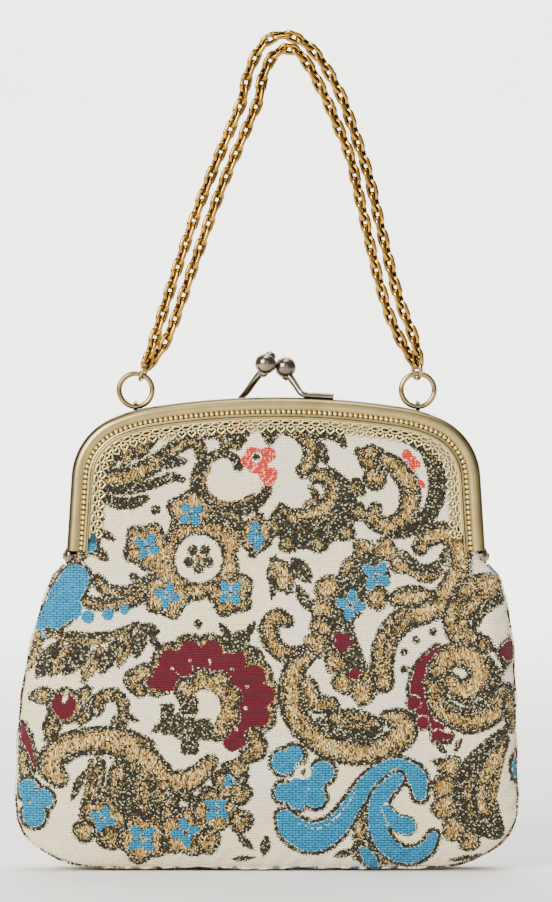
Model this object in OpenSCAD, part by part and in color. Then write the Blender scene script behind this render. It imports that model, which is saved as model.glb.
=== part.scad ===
// Kiss-clasp evening bag: a two-part metal frame carries a soft tapestry sack, and a doubled
// cable chain joins two rings on the frame.  Millimetres, +Z up, +X to the right seen from the
// front, front towards -Y.  The origin is the underside of the chain's arch, above the middle
// of the bag, where a hand or hook carries it; the bag hangs below and its frame halves meet
// on the plane y = 0.

/* [Metal frame] */
// Height of the hinge line below the origin
hinge_drop = 202; // [195:1:210]
// Height of the frame's crown above the hinge line
frame_h = 63.5; // [60:0.5:68]
// Radius of the crown's shallow arc
crown_r = 327; // [300:1:350]
// Radius of the shoulder arcs beside the crown
shoulder_r = 62; // [55:1:70]
// Radius of the frame's corners
corner_r = 27; // [24:1:30]
// Depth of one frame half from its roll's face to the parting plane
half_d = 5.85; // [5:0.05:6.5]
// Width of the channel's faces, from the outer edge inwards
channel_w = 8.4; // [7:0.1:9.5]
// Metal thickness of the channel
wall = 0.85; // [0.7:0.05:1]
// Width of the pierced trim that shows inside the channel
lace_w = 6; // [4:0.5:8]

/* [Clasp and hinges] */
// Diameter of each clasp ball
ball_d = 8.4; // [7.5:0.1:8.4]
// Thickness of the clasp's flat arms
arm_t = 2; // [1.6:0.1:2.2]
// Width of the clasp's flat arms
arm_w = 3.2; // [2.6:0.1:3.6]
// Diameter of the hinge rivets
rivet_d = 2.4; // [2:0.1:2.6]
// Diameter of the rivets' heads
rivet_head_d = 5; // [4:0.1:5.4]

/* [Rings and chain] */
// Outer diameter of the two frame rings
ring_od = 14.5; // [14:0.1:15]
// Wire diameter of the frame rings
ring_wire = 1.7; // [1.5:0.05:1.8]
// Outer diameter of the jump rings
jump_od = 7.4; // [7.2:0.1:7.6]
// Wire diameter of the jump rings
jump_wire = 1; // [0.9:0.05:1.05]
// Length of one chain link
link_l = 7.7; // [7.6:0.05:7.9]
// Width of one chain link
link_w = 4.8; // [4.7:0.05:4.9]
// Wire diameter of the chain
link_wire = 1.2; // [1.1:0.05:1.2]

/* [Bag] */
// Half the width of the bag at the hinge line
bag_top_half_w = 84; // [82:0.5:85]
// Half the width that the sack spreads to
bag_half_w = 100; // [96:0.5:104]
// Height of the sack below the hinge line
bag_drop = 123; // [115:1:130]
// Half the width of the gusset low in the sack
gusset_half_w = 13; // [10:0.5:16]
// How far the front and back swell out beyond the gusset's seams
swell = 5; // [3:0.5:7]
// Thickness of the tapestry
cloth = 0.9; // [0.7:0.1:1]
// Thickness of the lining
lining_t = 0.35; // [0.3:0.05:0.4]

/* [Hidden] */
$fn = 48;

gap = 0.15;
fit = 0.05;
brass = "#c9b377";
dark_brass = "#8a8074";
gold = "#d8b860";
tapestry = "#d9cdb4";
satin = "#cfc4ae";

// Frame outline: crown, shoulder and corner arcs that meet in tangents, then straight legs
crown_deg = 8.8;
shoulder_deg = 15.1;
leg_lean = 3.6;
crown_c = [0, frame_h - hinge_drop - crown_r];
shoulder_c = crown_c + (crown_r - shoulder_r) * [sin(crown_deg), cos(crown_deg)];
corner_from = crown_deg + shoulder_deg;
corner_c = shoulder_c + (shoulder_r - corner_r) * [sin(corner_from), cos(corner_from)];
crown_z = frame_h - hinge_drop;
leg_gap = 5;
leg_z = leg_gap - hinge_drop;

// Layers inside the channel, as distances from the parting plane
roll_r = half_d / 2;
lip_d = 5.2;
lace_t = 0.45;
lace_in = 5;
lace_y = lip_d - wall - fit - lace_t;
cloth_y = lace_y - fit - cloth;
lining_y = gap + wall + gap;
lining_inset = cloth_y + cloth - lining_y - lining_t;
cord_r = 0.55;
cord_y = (cloth_y + lining_y + lining_t) / 2;
cloth_edge = 1.35;
lining_edge = 2.6;
cloth_shelf = 79.5;

// Hinge ears: a disc round the hinge line and a neck up the leg, the back one outside the leg
// and the front one stepped from under the leg's end into its channel
ear_r = 3.6;
ear_t = 0.9;
ear_h = 12;
ear_neck = [0.3, 4.2];
lap_neck = [1.75, 4.3];
back_ear_x = 83.95;
front_ear_x = 82.8;
front_lap_x = 80.6;
step_z = [3.5, 4.8];
rivet_fit = 0.05;
head_t = 1.1;
head_gap = 0.1;
rivet_end = [81.4, back_ear_x + ear_t + head_gap + head_t];
cloth_gap = 2;
cloth_z = ear_h + cloth_gap - hinge_drop;

// Clasp places
back_ball = [-4.45, -2, crown_z + 13.4];
front_ball = [4.05, 2, crown_z + 12];
back_knuckle = [-12.7, 6.4, crown_z + 0.8];
front_knuckle = [10.6, -3, crown_z + 1.2];
knuckle_r = 1.15;
foot_l = 12.5;
foot_w = 4.4;
foot_turn = 3;
foot_gap = 0.2;
foot_low = 1.15;
back_foot = [8, 1, 7.6];
back_foot_low = 9.3;
arm_bury = 1.5;

// Ring places
ring_r = (ring_od - ring_wire) / 2;
ring_z = -135.6;
ring_left_x = -56.1;
ring_right_x = 56.7;
lug_hole_r = 1.15;
lug_r = 2.1;
lug_t = 1.6;
lug_arm = [0.4, 2.8, 1.3];
jump_gap = 0.3;
jump_r = (jump_od - jump_wire) / 2;
jump_left_yaw = 10;
jump_right_yaw = 25;
jump_fan = 22;
jump_left_lean = 24;
jump_right_lean = -2;

// Chain strands: outer then inner, each a smooth curve through a few points
arch_z = -20;
end_gap = 0.7;
left_outer = [[-48.5, -1.4, -115], [-38.5, -0.5, -84], [-28.5, 0, -56], [-13.5, 0, arch_z]];
left_inner = [[-43.5, 1.4, -115], [-32, 0.5, -83], [-21.5, 0, -54], [-7, 0, arch_z]];
right_outer = [[27, 0, arch_z], [36.5, 0, -48], [41, 0, -67], [48.5, -0.5, -97], [55.5, -1.4, -116]];
right_inner = [[20.5, 0, arch_z], [29.5, 0, -42], [33, 0, -57], [42.5, 0.5, -97], [50, 1.4, -116]];
arch_outer = [[-13.5, 0, arch_z], [-11, -1, -9], [-5, -1.3, 3], [4, -1.3, 6.5], [13.5, -1.3, 1.5],
    [21, -1, -8.5], [27, 0, arch_z]];
arch_inner = [[-7, 0, arch_z], [-5, 1, -9.5], [-0.5, 1.3, -1], [6.5, 1.3, 1.2], [13, 1, -5.5],
    [20.5, 0, arch_z]];

// Sack: the seam rows run from the hinge line down to the bottom.  Its sides spread out from
// the hinges, where they are pinched in, and turn under in rounded corners
corner_h = 23;
corner_w = 34;
spread_drop = 26;
pinch = 4.5;
pinch_drop = 8;
deep_drop = 85;
row_stop = 1;
seam_gap = 0.3;
under_n = 8;
row_n = 18;
col_n = 16;
sack_rows = [for (i = [0:row_n]) sin(90 * i / row_n)];
front_top = 7;
back_top = -4;
top_step = 0.7;
seam_top_y = cloth_y + cloth + top_step;
flap_low = 1;

// ---- helpers ----

// Points along the frame's outline, a distance in from its outer edge, right leg to left leg
function arc_points(c, r, from, to, n) =
    [for (i = [1:n]) let (a = from + (to - from) * i / n) c + r * [sin(a), cos(a)]];

function leg_foot(inset, z) =
    let (p = corner_c + (corner_r - inset) * [cos(leg_lean), sin(leg_lean)])
    p + (p[1] - z) * [tan(leg_lean), -1];

function right_outline(inset, z) = concat(
    arc_points(crown_c, crown_r - inset, 0, crown_deg, 6),
    arc_points(shoulder_c, shoulder_r - inset, crown_deg, corner_from, 4),
    arc_points(corner_c, corner_r - inset, corner_from, 90 - leg_lean, 10),
    [leg_foot(inset, z)]);

function reversed(points) = [for (i = [len(points) - 1:-1:0]) points[i]];

function mirrored(points) = [for (i = [len(points) - 1:-1:0]) [-points[i][0], points[i][1]]];

function outline(inset, z) =
    concat(mirrored(right_outline(inset, z)), [[0, crown_z - inset]], right_outline(inset, z));

// Turns a drawing of the front view into the plane y = -near, thickness t towards the back
module elevation(near, t) {
    translate([0, -near + t, 0]) rotate([90, 0, 0]) linear_extrude(t) children();
}

// Sweeps a closed section round the frame.  A section's point is [distance in from the outer
// edge, distance forwards from the parting plane]
module frame_sweep(section, z) {
    sides = len(section);
    tracks = [for (p = section) outline(p[0], z)];
    rings = len(tracks[0]);
    faces = concat([[for (j = [sides - 1:-1:0]) j]], [[for (j = [0:sides - 1]) (rings - 1) * sides + j]],
        [for (i = [0:rings - 2]) for (j = [0:sides - 1]) for (half = [0, 1])
            let (a = i * sides + j, b = i * sides + (j + 1) % sides)
            half == 0 ? [a, b, b + sides] : [a, b + sides, a + sides]]);
    polyhedron(points = [for (i = [0:rings - 1]) for (j = [0:sides - 1])
        [tracks[j][i][0], -section[j][1], tracks[j][i][1]]], faces = faces);
}

function ring_points(c, r, from, to, n) =
    [for (i = [0:n]) let (a = from + (to - from) * i / n) c + r * [cos(a), sin(a)]];

// The channel: a round roll along the outer edge and two flat walls that run inwards from it
function channel_section() =
    let (c = [roll_r, gap + roll_r], inner_r = roll_r - wall)
    concat([[channel_w, lip_d]],
        ring_points(c, roll_r, asin((lip_d - c[1]) / roll_r), 270, 14),
        [[channel_w, gap], [channel_w, gap + wall]],
        ring_points(c, inner_r, 270, asin((lip_d - wall - c[1]) / inner_r), 9),
        [[channel_w, lip_d - wall]]);

module rivet_bore(x) {
    translate([x - 1, 0, -hinge_drop]) rotate([0, 90, 0])
        cylinder(d = rivet_d + 2 * rivet_fit, h = ear_t + 2);
}

module ear_disc(x) {
    translate([x, 0, -hinge_drop]) rotate([0, 90, 0]) cylinder(r = ear_r, h = ear_t);
}

module ear_plate(x, z, top, t, span = ear_neck) {
    translate([x, span[0], z - hinge_drop]) cube([t, span[1] - span[0], top - z]);
}

// A flat strip between two points, its width along Y
function strip_turn(d) = [-atan2(d[1], d[2]), asin(d[0] / norm(d)), 0];

module strip(p, q, from, to, t, w) {
    d = q - p;
    translate(p) rotate([strip_turn(d)[0], 0, 0]) rotate([0, strip_turn(d)[1], 0])
        translate([-t / 2, -w / 2, from]) cube([t, w, to - from]);
}

module clasp_arm(knuckle, ball) {
    reach = norm(ball - knuckle) - ball_d / 2 + arm_bury;
    color(dark_brass) union() {
        strip(knuckle, ball, 0, reach, arm_t, arm_w);
        translate(knuckle - [0, arm_w / 2, 0]) rotate([-90, 0, 0]) cylinder(r = knuckle_r, h = arm_w);
    }
}

module clasp_ball(knuckle, ball) {
    reach = norm(ball - knuckle);
    color(dark_brass) difference() {
        translate(ball) sphere(d = ball_d);
        strip(knuckle, ball, 0, reach - ball_d / 2 + arm_bury + fit, arm_t + 2 * fit, arm_w + 2 * fit);
    }
}

module ring(c, r, wire, yaw, lean) {
    translate(c) rotate([0, lean, 0]) rotate([0, 0, yaw]) rotate([90, 0, 0])
        rotate_extrude() translate([r, 0]) circle(d = wire);
}

// Middle of a jump ring that hangs on top of a frame ring, leaning from upright
function jump_middle(x, lean) = [x, 0, ring_z]
    + (ring_r - ring_wire / 2 - jump_wire / 2 - jump_gap + jump_r) * [sin(lean), 0, cos(lean)];

// Where a strand's end link bears on the jump ring
function jump_seat(x, lean, yaw, side) = jump_middle(x, lean)
    + jump_r * (cos(jump_fan) * [sin(lean), 0, cos(lean)]
    + side * sin(jump_fan) * [sin(yaw) * cos(lean), cos(yaw), -sin(yaw) * sin(lean)]);

function strand_end(seat, next) = seat - end_gap * (next - seat) / norm(next - seat);

left_outer_end = strand_end(jump_seat(ring_left_x, jump_left_lean, jump_left_yaw, -1), left_outer[0]);
left_inner_end = strand_end(jump_seat(ring_left_x, jump_left_lean, jump_left_yaw, 1), left_inner[0]);
right_outer_end = strand_end(jump_seat(ring_right_x, jump_right_lean, -jump_right_yaw, -1), right_outer[4]);
right_inner_end = strand_end(jump_seat(ring_right_x, jump_right_lean, -jump_right_yaw, 1), right_inner[4]);

// Smooth curve through a route's points, and places at even distances along it
function between(a, b, c, d, t) =
    0.5 * (2 * b + (c - a) * t + (2 * a - 5 * b + 4 * c - d) * t * t + (3 * b - a - 3 * c + d) * t * t * t);

function smooth(route, n = 12) =
    let (last = len(route) - 1)
    let (p = concat([2 * route[0] - route[1]], route, [2 * route[last] - route[last - 1]]))
    concat([for (i = [1:last]) for (k = [0:n - 1]) between(p[i - 1], p[i], p[i + 1], p[i + 2], k / n)],
        [route[last]]);

function run_lengths(p) =
    [for (i = 0, s = 0; i < len(p); s = s + (i + 1 < len(p) ? norm(p[i + 1] - p[i]) : 0), i = i + 1) s];

function even_places(route, n) =
    let (p = smooth(route), s = run_lengths(p), total = s[len(s) - 1])
    let (axes = [for (k = [0:2]) [for (i = [0:len(p) - 1]) [s[i], p[i][k]]]])
    [for (i = [0:n]) [for (k = [0:2]) lookup(total * i / n, axes[k])]];

module chain_link(a, b, turn) {
    d = b - a;
    bend_r = (link_w - link_wire) / 2;
    straight = link_l / 2 - link_wire / 2 - bend_r;
    translate((a + b) / 2) rotate([-asin(d[1] / norm(d)), atan2(d[0], d[2]), 0]) rotate([0, 0, turn]) {
        for (end = [0, 180]) rotate([0, end, 0]) {
            translate([0, 0, straight]) rotate([90, 0, 0])
                rotate_extrude(angle = 180) translate([bend_r, 0]) circle(d = link_wire);
            translate([bend_r, 0, -straight]) cylinder(d = link_wire, h = 2 * straight);
        }
    }
}

// Links along a route, turned by a quarter from one to the next; flat is the first one's turn
module strand(route, n, flat) {
    places = even_places(route, n);
    for (i = [0:n - 1]) chain_link(places[i], places[i + 1], i % 2 == 0 ? flat : 90 - flat);
}

// Sack shape at a height below the hinge line: seam half width, gusset half width and swell
function corner_pull(drop) =
    let (t = max(0, drop - (bag_drop - corner_h)) / corner_h) corner_w * (1 - sqrt(1 - min(1, t * t)));

function seam_x(drop) =
    bag_top_half_w + (bag_half_w - bag_top_half_w) * (1 - exp(-max(0, drop) / spread_drop))
    - pinch * max(0, 1 - drop / pinch_drop) - corner_pull(drop);

function seam_y(drop) = drop < 0 ? cloth_y + cloth + top_step * (1 - drop / back_top)
    : seam_top_y + (gusset_half_w - seam_top_y) * sin(90 * min(1, drop / deep_drop));

function crown_y(drop) = min(1, 1 - drop / back_top) + swell * sin(180 * min(1, max(0, drop) / bag_drop));

function row_drop(i, top, bottom) = top + (bottom - top) * sack_rows[i];

function panel_face(inset, depth, top) = [for (i = [0:row_n]) [for (k = [0:col_n])
    let (drop = row_drop(i, top, bag_drop - row_stop - inset), across = 2 * k / col_n - 1)
    [across * (seam_x(drop) - inset), -(seam_y(drop) - depth + crown_y(drop) * (1 - across * across)),
        -hinge_drop - drop]]];

function gusset_line(inset) = concat(
    [for (i = [0:row_n]) let (drop = row_drop(i, front_top, bag_drop - row_stop - inset))
        [-seam_x(drop) + inset, -hinge_drop - drop, seam_y(drop)]],
    [for (i = [1:under_n - 1]) [(2 * i / under_n - 1) * (seam_x(bag_drop - row_stop) - inset),
        -hinge_drop - bag_drop + inset, seam_y(bag_drop)]],
    [for (i = [row_n:-1:0]) let (drop = row_drop(i, front_top, bag_drop - row_stop - inset))
        [seam_x(drop) - inset, -hinge_drop - drop, seam_y(drop)]]);

function gusset_face(inset, narrow) = [for (p = gusset_line(inset)) [for (k = [-1:0.5:1])
    [p[0], k * (p[2] - narrow), p[1]]]];

// Closed solid between two grids of points with the same rows and columns
module sheet_solid(outer, inner) {
    rows = len(outer);
    cols = len(outer[0]);
    function at(i, k) = i * cols + k;
    all = rows * cols;
    rim = concat([for (k = [0:cols - 1]) at(0, k)], [for (i = [1:rows - 1]) at(i, cols - 1)],
        [for (k = [cols - 2:-1:0]) at(rows - 1, k)], [for (i = [rows - 2:-1:1]) at(i, 0)]);
    faces = concat(
        [for (i = [0:rows - 2]) for (k = [0:cols - 2]) for (half = [0, 1])
            half == 0 ? [at(i, k), at(i, k + 1), at(i + 1, k + 1)]
                : [at(i, k), at(i + 1, k + 1), at(i + 1, k)]],
        [for (i = [0:rows - 2]) for (k = [0:cols - 2]) for (half = [0, 1])
            half == 0 ? [all + at(i, k), all + at(i + 1, k + 1), all + at(i, k + 1)]
                : [all + at(i, k), all + at(i + 1, k), all + at(i + 1, k + 1)]],
        [for (i = [0:len(rim) - 1]) for (half = [0, 1]) let (a = rim[i], b = rim[(i + 1) % len(rim)])
            half == 0 ? [b, a, all + a] : [b, all + a, all + b]]);
    polyhedron(points = concat([for (r = outer) each r], [for (r = inner) each r]), faces = faces);
}

module panel(inset, t, top) {
    sheet_solid(panel_face(inset, inset, top), panel_face(inset, inset + t, top));
}

module gusset_strip(inset, t, narrow) {
    sheet_solid(gusset_face(inset + t, narrow), gusset_face(inset, narrow));
}

// Flat cloth inside the frame's outline, down to a distance below the hinge line
module flap(near, t, edge, drop) {
    points = concat(outline(edge, cloth_z), [[cloth_shelf, cloth_z], [cloth_shelf, -drop - hinge_drop],
        [-cloth_shelf, -drop - hinge_drop], [-cloth_shelf, cloth_z]]);
    elevation(near, t) polygon(points);
}

module cloth_flap(drop) flap(cloth_y + cloth, cloth, cloth_edge, drop);

module lining_flap(drop) flap(lining_y + lining_t, lining_t, lining_edge, drop);

module frame_half() color(brass) frame_sweep(channel_section(), leg_z);

module back_ear() color(brass) difference() {
    union() {
        ear_disc(back_ear_x);
        ear_plate(back_ear_x, 0, ear_h, ear_t);
    }
    rivet_bore(back_ear_x);
}

module front_ear() color(brass) mirror([0, 1, 0]) difference() {
    union() {
        ear_disc(front_ear_x);
        ear_plate(front_ear_x, 0, step_z[1], ear_t);
        ear_plate(front_lap_x, step_z[0], step_z[1], front_ear_x + ear_t - front_lap_x);
        ear_plate(front_lap_x, step_z[1], ear_h, ear_t, lap_neck);
    }
    rivet_bore(front_ear_x);
}

module hinge_rivet() {
    color(dark_brass) translate([0, 0, -hinge_drop]) rotate([0, 90, 0]) union() {
        translate([0, 0, rivet_end[0]]) cylinder(d = rivet_head_d, h = head_t);
        translate([0, 0, rivet_end[0]]) cylinder(d = rivet_d, h = rivet_end[1] - rivet_end[0]);
        translate([0, 0, rivet_end[1] - head_t]) cylinder(d = rivet_head_d, h = head_t);
    }
}

module lug(x) {
    hole_z = ring_z - ring_r;
    color(dark_brass) difference() {
        union() {
            translate([x - lug_t / 2, 0, hole_z]) rotate([0, 90, 0]) cylinder(r = lug_r, h = lug_t);
            translate([x - lug_t / 2, lug_arm[0], hole_z - lug_arm[2]])
                cube([lug_t, lug_arm[1], lug_arm[2]]);
        }
        translate([x - lug_t, 0, hole_z]) rotate([0, 90, 0]) cylinder(r = lug_hole_r, h = 2 * lug_t);
    }
}

// ---- sub-parts ----

module back_frame() mirror([0, 1, 0]) frame_half();

module front_frame() frame_half();

module back_left_ear() mirror([1, 0, 0]) back_ear();

module back_right_ear() back_ear();

module front_left_ear() mirror([1, 0, 0]) front_ear();

module front_right_ear() front_ear();

module left_hinge_rivet() mirror([1, 0, 0]) hinge_rivet();

module right_hinge_rivet() hinge_rivet();

module front_clasp_foot() color(dark_brass)
    translate(front_knuckle) rotate([0, foot_turn, 0])
        translate([knuckle_r + foot_gap, -foot_w / 2, -foot_low]) cube([foot_l, foot_w, arm_t]);

module front_clasp_arm() clasp_arm(front_knuckle, front_ball);

module front_clasp_ball() clasp_ball(front_knuckle, front_ball);

module back_clasp_foot() color(dark_brass)
    translate([back_knuckle[0] - back_foot[0] / 2, half_d + gap + fit, crown_z - back_foot_low])
        cube(back_foot);

module back_clasp_arm() clasp_arm(back_knuckle, back_ball);

module back_clasp_ball() clasp_ball(back_knuckle, back_ball);

module left_ring_lug() lug(ring_left_x);

module right_ring_lug() lug(ring_right_x);

module left_ring() color(gold) ring([ring_left_x, 0, ring_z], ring_r, ring_wire, 0, 0);

module right_ring() color(gold) ring([ring_right_x, 0, ring_z], ring_r, ring_wire, 0, 0);

module left_jump_ring() color(gold)
    ring(jump_middle(ring_left_x, jump_left_lean), jump_r, jump_wire, 90 - jump_left_yaw, jump_left_lean);

module right_jump_ring() color(gold)
    ring(jump_middle(ring_right_x, jump_right_lean), jump_r, jump_wire, jump_right_yaw - 90,
        jump_right_lean);

module chain_arch() color(gold) {
    strand(arch_outer, 14, 90);
    strand(arch_inner, 11, 90);
}

module chain_left_run() color(gold) {
    strand(concat([left_outer_end], left_outer), 23, 0);
    strand(concat([left_inner_end], left_inner), 23, 0);
}

module chain_right_run() color(gold) {
    strand(concat(right_outer, [right_outer_end]), 22, 90);
    strand(concat(right_inner, [right_inner_end]), 23, 0);
}

module front_panel() color(tapestry) panel(0, cloth, front_top);

module front_panel_flap() color(tapestry) cloth_flap(-flap_low);

module back_panel() color(tapestry) mirror([0, 1, 0]) {
    panel(0, cloth, back_top);
    cloth_flap(back_top + flap_low);
}

module gusset() color(tapestry) gusset_strip(0, cloth, cloth + seam_gap);

module lining_front() color(satin) panel(lining_inset, lining_t, front_top);

module lining_front_flap() color(satin) lining_flap(-flap_low);

module lining_back() color(satin) mirror([0, 1, 0]) {
    panel(lining_inset, lining_t, back_top);
    lining_flap(back_top + flap_low);
}

module lining_gusset() color(satin)
    gusset_strip(lining_inset, lining_t, lining_inset + lining_t + seam_gap);

module lace_trim() color(brass) elevation(lace_y + lace_t, lace_t) {
    polygon(concat(outline(lace_in, cloth_z), reversed(outline(channel_w + lace_w, cloth_z))));
}

module front_lace_trim() lace_trim();

module back_lace_trim() mirror([0, 1, 0]) lace_trim();

module edge_cord() color(satin)
    frame_sweep(ring_points([roll_r, cord_y], cord_r, 0, 315, 7), cloth_z);

module front_edge_cord() edge_cord();

module back_edge_cord() mirror([0, 1, 0]) edge_cord();

back_frame();
front_frame();
back_left_ear();
back_right_ear();
front_left_ear();
front_right_ear();
left_hinge_rivet();
right_hinge_rivet();
front_clasp_foot();
front_clasp_arm();
front_clasp_ball();
back_clasp_foot();
back_clasp_arm();
back_clasp_ball();
left_ring_lug();
right_ring_lug();
left_ring();
right_ring();
left_jump_ring();
right_jump_ring();
chain_arch();
chain_left_run();
chain_right_run();
front_panel();
front_panel_flap();
back_panel();
gusset();
lining_front();
lining_front_flap();
lining_back();
lining_gusset();
front_lace_trim();
back_lace_trim();
front_edge_cord();
back_edge_cord();
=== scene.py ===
"""Looks of a tapestry evening bag with a kiss-clasp frame and a doubled chain.

Everything is worked out in millimetres in the CAD frame (+X right, -Y front, +Z up) and
turned into metres where a mesh is made.  The bag hangs from its chain's arch at the origin.
"""
import math

import bpy
import numpy as np
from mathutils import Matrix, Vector


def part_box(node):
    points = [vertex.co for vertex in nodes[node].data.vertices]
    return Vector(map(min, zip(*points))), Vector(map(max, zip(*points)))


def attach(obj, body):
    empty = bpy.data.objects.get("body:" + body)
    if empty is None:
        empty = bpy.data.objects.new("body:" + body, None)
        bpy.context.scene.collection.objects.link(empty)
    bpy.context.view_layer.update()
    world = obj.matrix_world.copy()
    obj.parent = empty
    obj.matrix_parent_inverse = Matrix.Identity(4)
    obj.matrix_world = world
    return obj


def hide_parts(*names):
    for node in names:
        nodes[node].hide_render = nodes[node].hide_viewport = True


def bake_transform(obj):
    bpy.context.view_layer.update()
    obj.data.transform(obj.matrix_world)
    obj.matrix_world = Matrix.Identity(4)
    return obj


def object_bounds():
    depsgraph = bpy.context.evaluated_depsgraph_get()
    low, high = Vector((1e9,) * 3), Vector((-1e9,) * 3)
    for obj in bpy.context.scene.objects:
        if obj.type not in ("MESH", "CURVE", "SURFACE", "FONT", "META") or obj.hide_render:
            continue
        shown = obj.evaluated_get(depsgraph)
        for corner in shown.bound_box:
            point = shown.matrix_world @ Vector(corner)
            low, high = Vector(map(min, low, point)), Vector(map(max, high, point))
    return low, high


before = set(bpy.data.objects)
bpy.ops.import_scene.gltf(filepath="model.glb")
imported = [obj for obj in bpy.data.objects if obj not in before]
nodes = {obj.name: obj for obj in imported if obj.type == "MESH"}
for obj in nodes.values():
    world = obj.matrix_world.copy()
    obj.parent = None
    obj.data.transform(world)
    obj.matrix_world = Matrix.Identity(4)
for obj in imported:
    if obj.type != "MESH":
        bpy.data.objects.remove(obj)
cad_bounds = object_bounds()

MM = 0.001
FRONT = -1
BACK = 1


def node_box(name):
    """Lowest and highest corner of a CAD node, in millimetres."""
    low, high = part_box(name)
    return np.array(low) / MM, np.array(high) / MM


# Frame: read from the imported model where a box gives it, else the design's own values
FRAME_LOW, FRAME_HIGH = node_box("front_frame")
CROWN_Z = FRAME_HIGH[2]
LEG_Z = FRAME_LOW[2]
FRAME_NEAR = -FRAME_HIGH[1]
FRAME_FAR = -FRAME_LOW[1]
ROLL_R = (FRAME_FAR - FRAME_NEAR) / 2
HINGE_Z = (node_box("left_hinge_rivet")[0][2] + node_box("left_hinge_rivet")[1][2]) / 2
CROWN_R = 327
SHOULDER_R = 62
CORNER_R = 27
CROWN_DEG = 8.8
SHOULDER_DEG = 15.1
LEG_LEAN = 3.6
WALL = 0.85
CLOTH_FACE = 3.75

# Sack: how it spreads and swells below the hinge line
SACK_LOW = node_box("gusset")[0]
SACK_HIGH = node_box("gusset")[1]
DROP_END = HINGE_Z - SACK_LOW[2]
SACK_HALF_W = SACK_HIGH[0]
CORNER_H = 23
CORNER_IN = 34


# ---- meshes ----

def mesh_piece(name, points, faces, material, sharp=None):
    """A mesh object from points in millimetres; sharp keeps edges over that angle crisp."""
    mesh = bpy.data.meshes.new(name)
    mesh.from_pydata((np.asarray(points, float) * MM).tolist(), [], faces)
    mesh.validate()
    mesh.shade_smooth()
    if sharp:
        mesh.set_sharp_from_angle(angle=math.radians(sharp))
    mesh.materials.append(material)
    piece = bpy.data.objects.new(name, mesh)
    bpy.context.scene.collection.objects.link(piece)
    return piece


def add_vectors(piece, name, values):
    """Stores one vector a vertex, for the materials."""
    attribute = piece.data.attributes.new(name, "FLOAT_VECTOR", "POINT")
    attribute.data.foreach_set("vector", np.asarray(values, np.float32).ravel())


def fit_out(piece, slot, body, *stands_for):
    """Hides the CAD nodes that a piece replaces and attaches the piece to the body that it rides on. The slot
    is not used.
    """
    if stands_for:
        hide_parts(*stands_for)
    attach(piece, body)


def grid_faces(rows, cols, closed=False, start=0, flip=False):
    """Quads of a rows x cols grid; closed joins the last column to the first."""
    faces = []
    for i in range(rows - 1):
        for k in range(cols if closed else cols - 1):
            n = (k + 1) % cols
            quad = (start + i * cols + k, start + i * cols + n,
                    start + (i + 1) * cols + n, start + (i + 1) * cols + k)
            faces.append(quad[::-1] if flip else quad)
    return faces


def unit(vectors):
    """The same directions with a length of one."""
    vectors = np.asarray(vectors, float)
    return vectors / np.maximum(np.linalg.norm(vectors, axis=-1, keepdims=True), 1e-12)


def tube(path, radius, sides=8, closed=False):
    """Points and faces of a tube along a path; radius may be one number or one a point."""
    path = np.asarray(path, float)
    if closed:
        along = unit(np.roll(path, -1, 0) - np.roll(path, 1, 0))
    else:
        along = unit(np.gradient(path, axis=0))
    radius = np.broadcast_to(radius, len(path))
    side = np.cross(along[0], [0, 0, 1])
    if np.linalg.norm(side) < 0.2:
        side = np.cross(along[0], [0, 1, 0])
    rings = []
    angles = np.arange(sides) * 2 * math.pi / sides
    for i, point in enumerate(path):
        side = unit(side - along[i] * np.dot(side, along[i]))
        up = np.cross(along[i], side)
        ring = np.outer(np.cos(angles), side) + np.outer(np.sin(angles), up)
        rings.append(point + ring * radius[i])
    points = np.concatenate(rings)
    count = len(path)
    faces = grid_faces(count, sides, closed=True)
    if closed:
        last = (count - 1) * sides
        for k in range(sides):
            n = (k + 1) % sides
            faces.append((last + k, last + n, n, k))
    else:
        faces.append(tuple(range(sides))[::-1])
        faces.append(tuple((count - 1) * sides + k for k in range(sides)))
    return points, [f[::-1] for f in faces]


def joined(parts):
    """Several (points, faces) pairs as one pair."""
    points, faces, start = [], [], 0
    for some, these in parts:
        points.append(some)
        faces += [tuple(i + start for i in f) for f in these]
        start += len(some)
    return np.concatenate(points), faces


def smooth_route(knots, steps=8):
    """A smooth curve through given knots, which may carry a width as one more number."""
    p = np.asarray(knots, float)
    p = np.concatenate([[2 * p[0] - p[1]], p, [2 * p[-1] - p[-2]]])
    curve = []
    for a, b, c, d in zip(p, p[1:], p[2:], p[3:]):
        for t in np.arange(steps) / steps:
            curve.append(0.5 * (2 * b + (c - a) * t + (2 * a - 5 * b + 4 * c - d) * t * t
                                + (3 * b - a - 3 * c + d) * t ** 3))
    return np.array(curve + [p[-2]])


def smoothstep(low, high, x):
    """0 at low and 1 at high, eased at both ends."""
    t = np.clip((np.asarray(x, float) - low) / (high - low), 0, 1)
    return t * t * (3 - 2 * t)


# ---- shape of the frame and the sack ----

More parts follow.
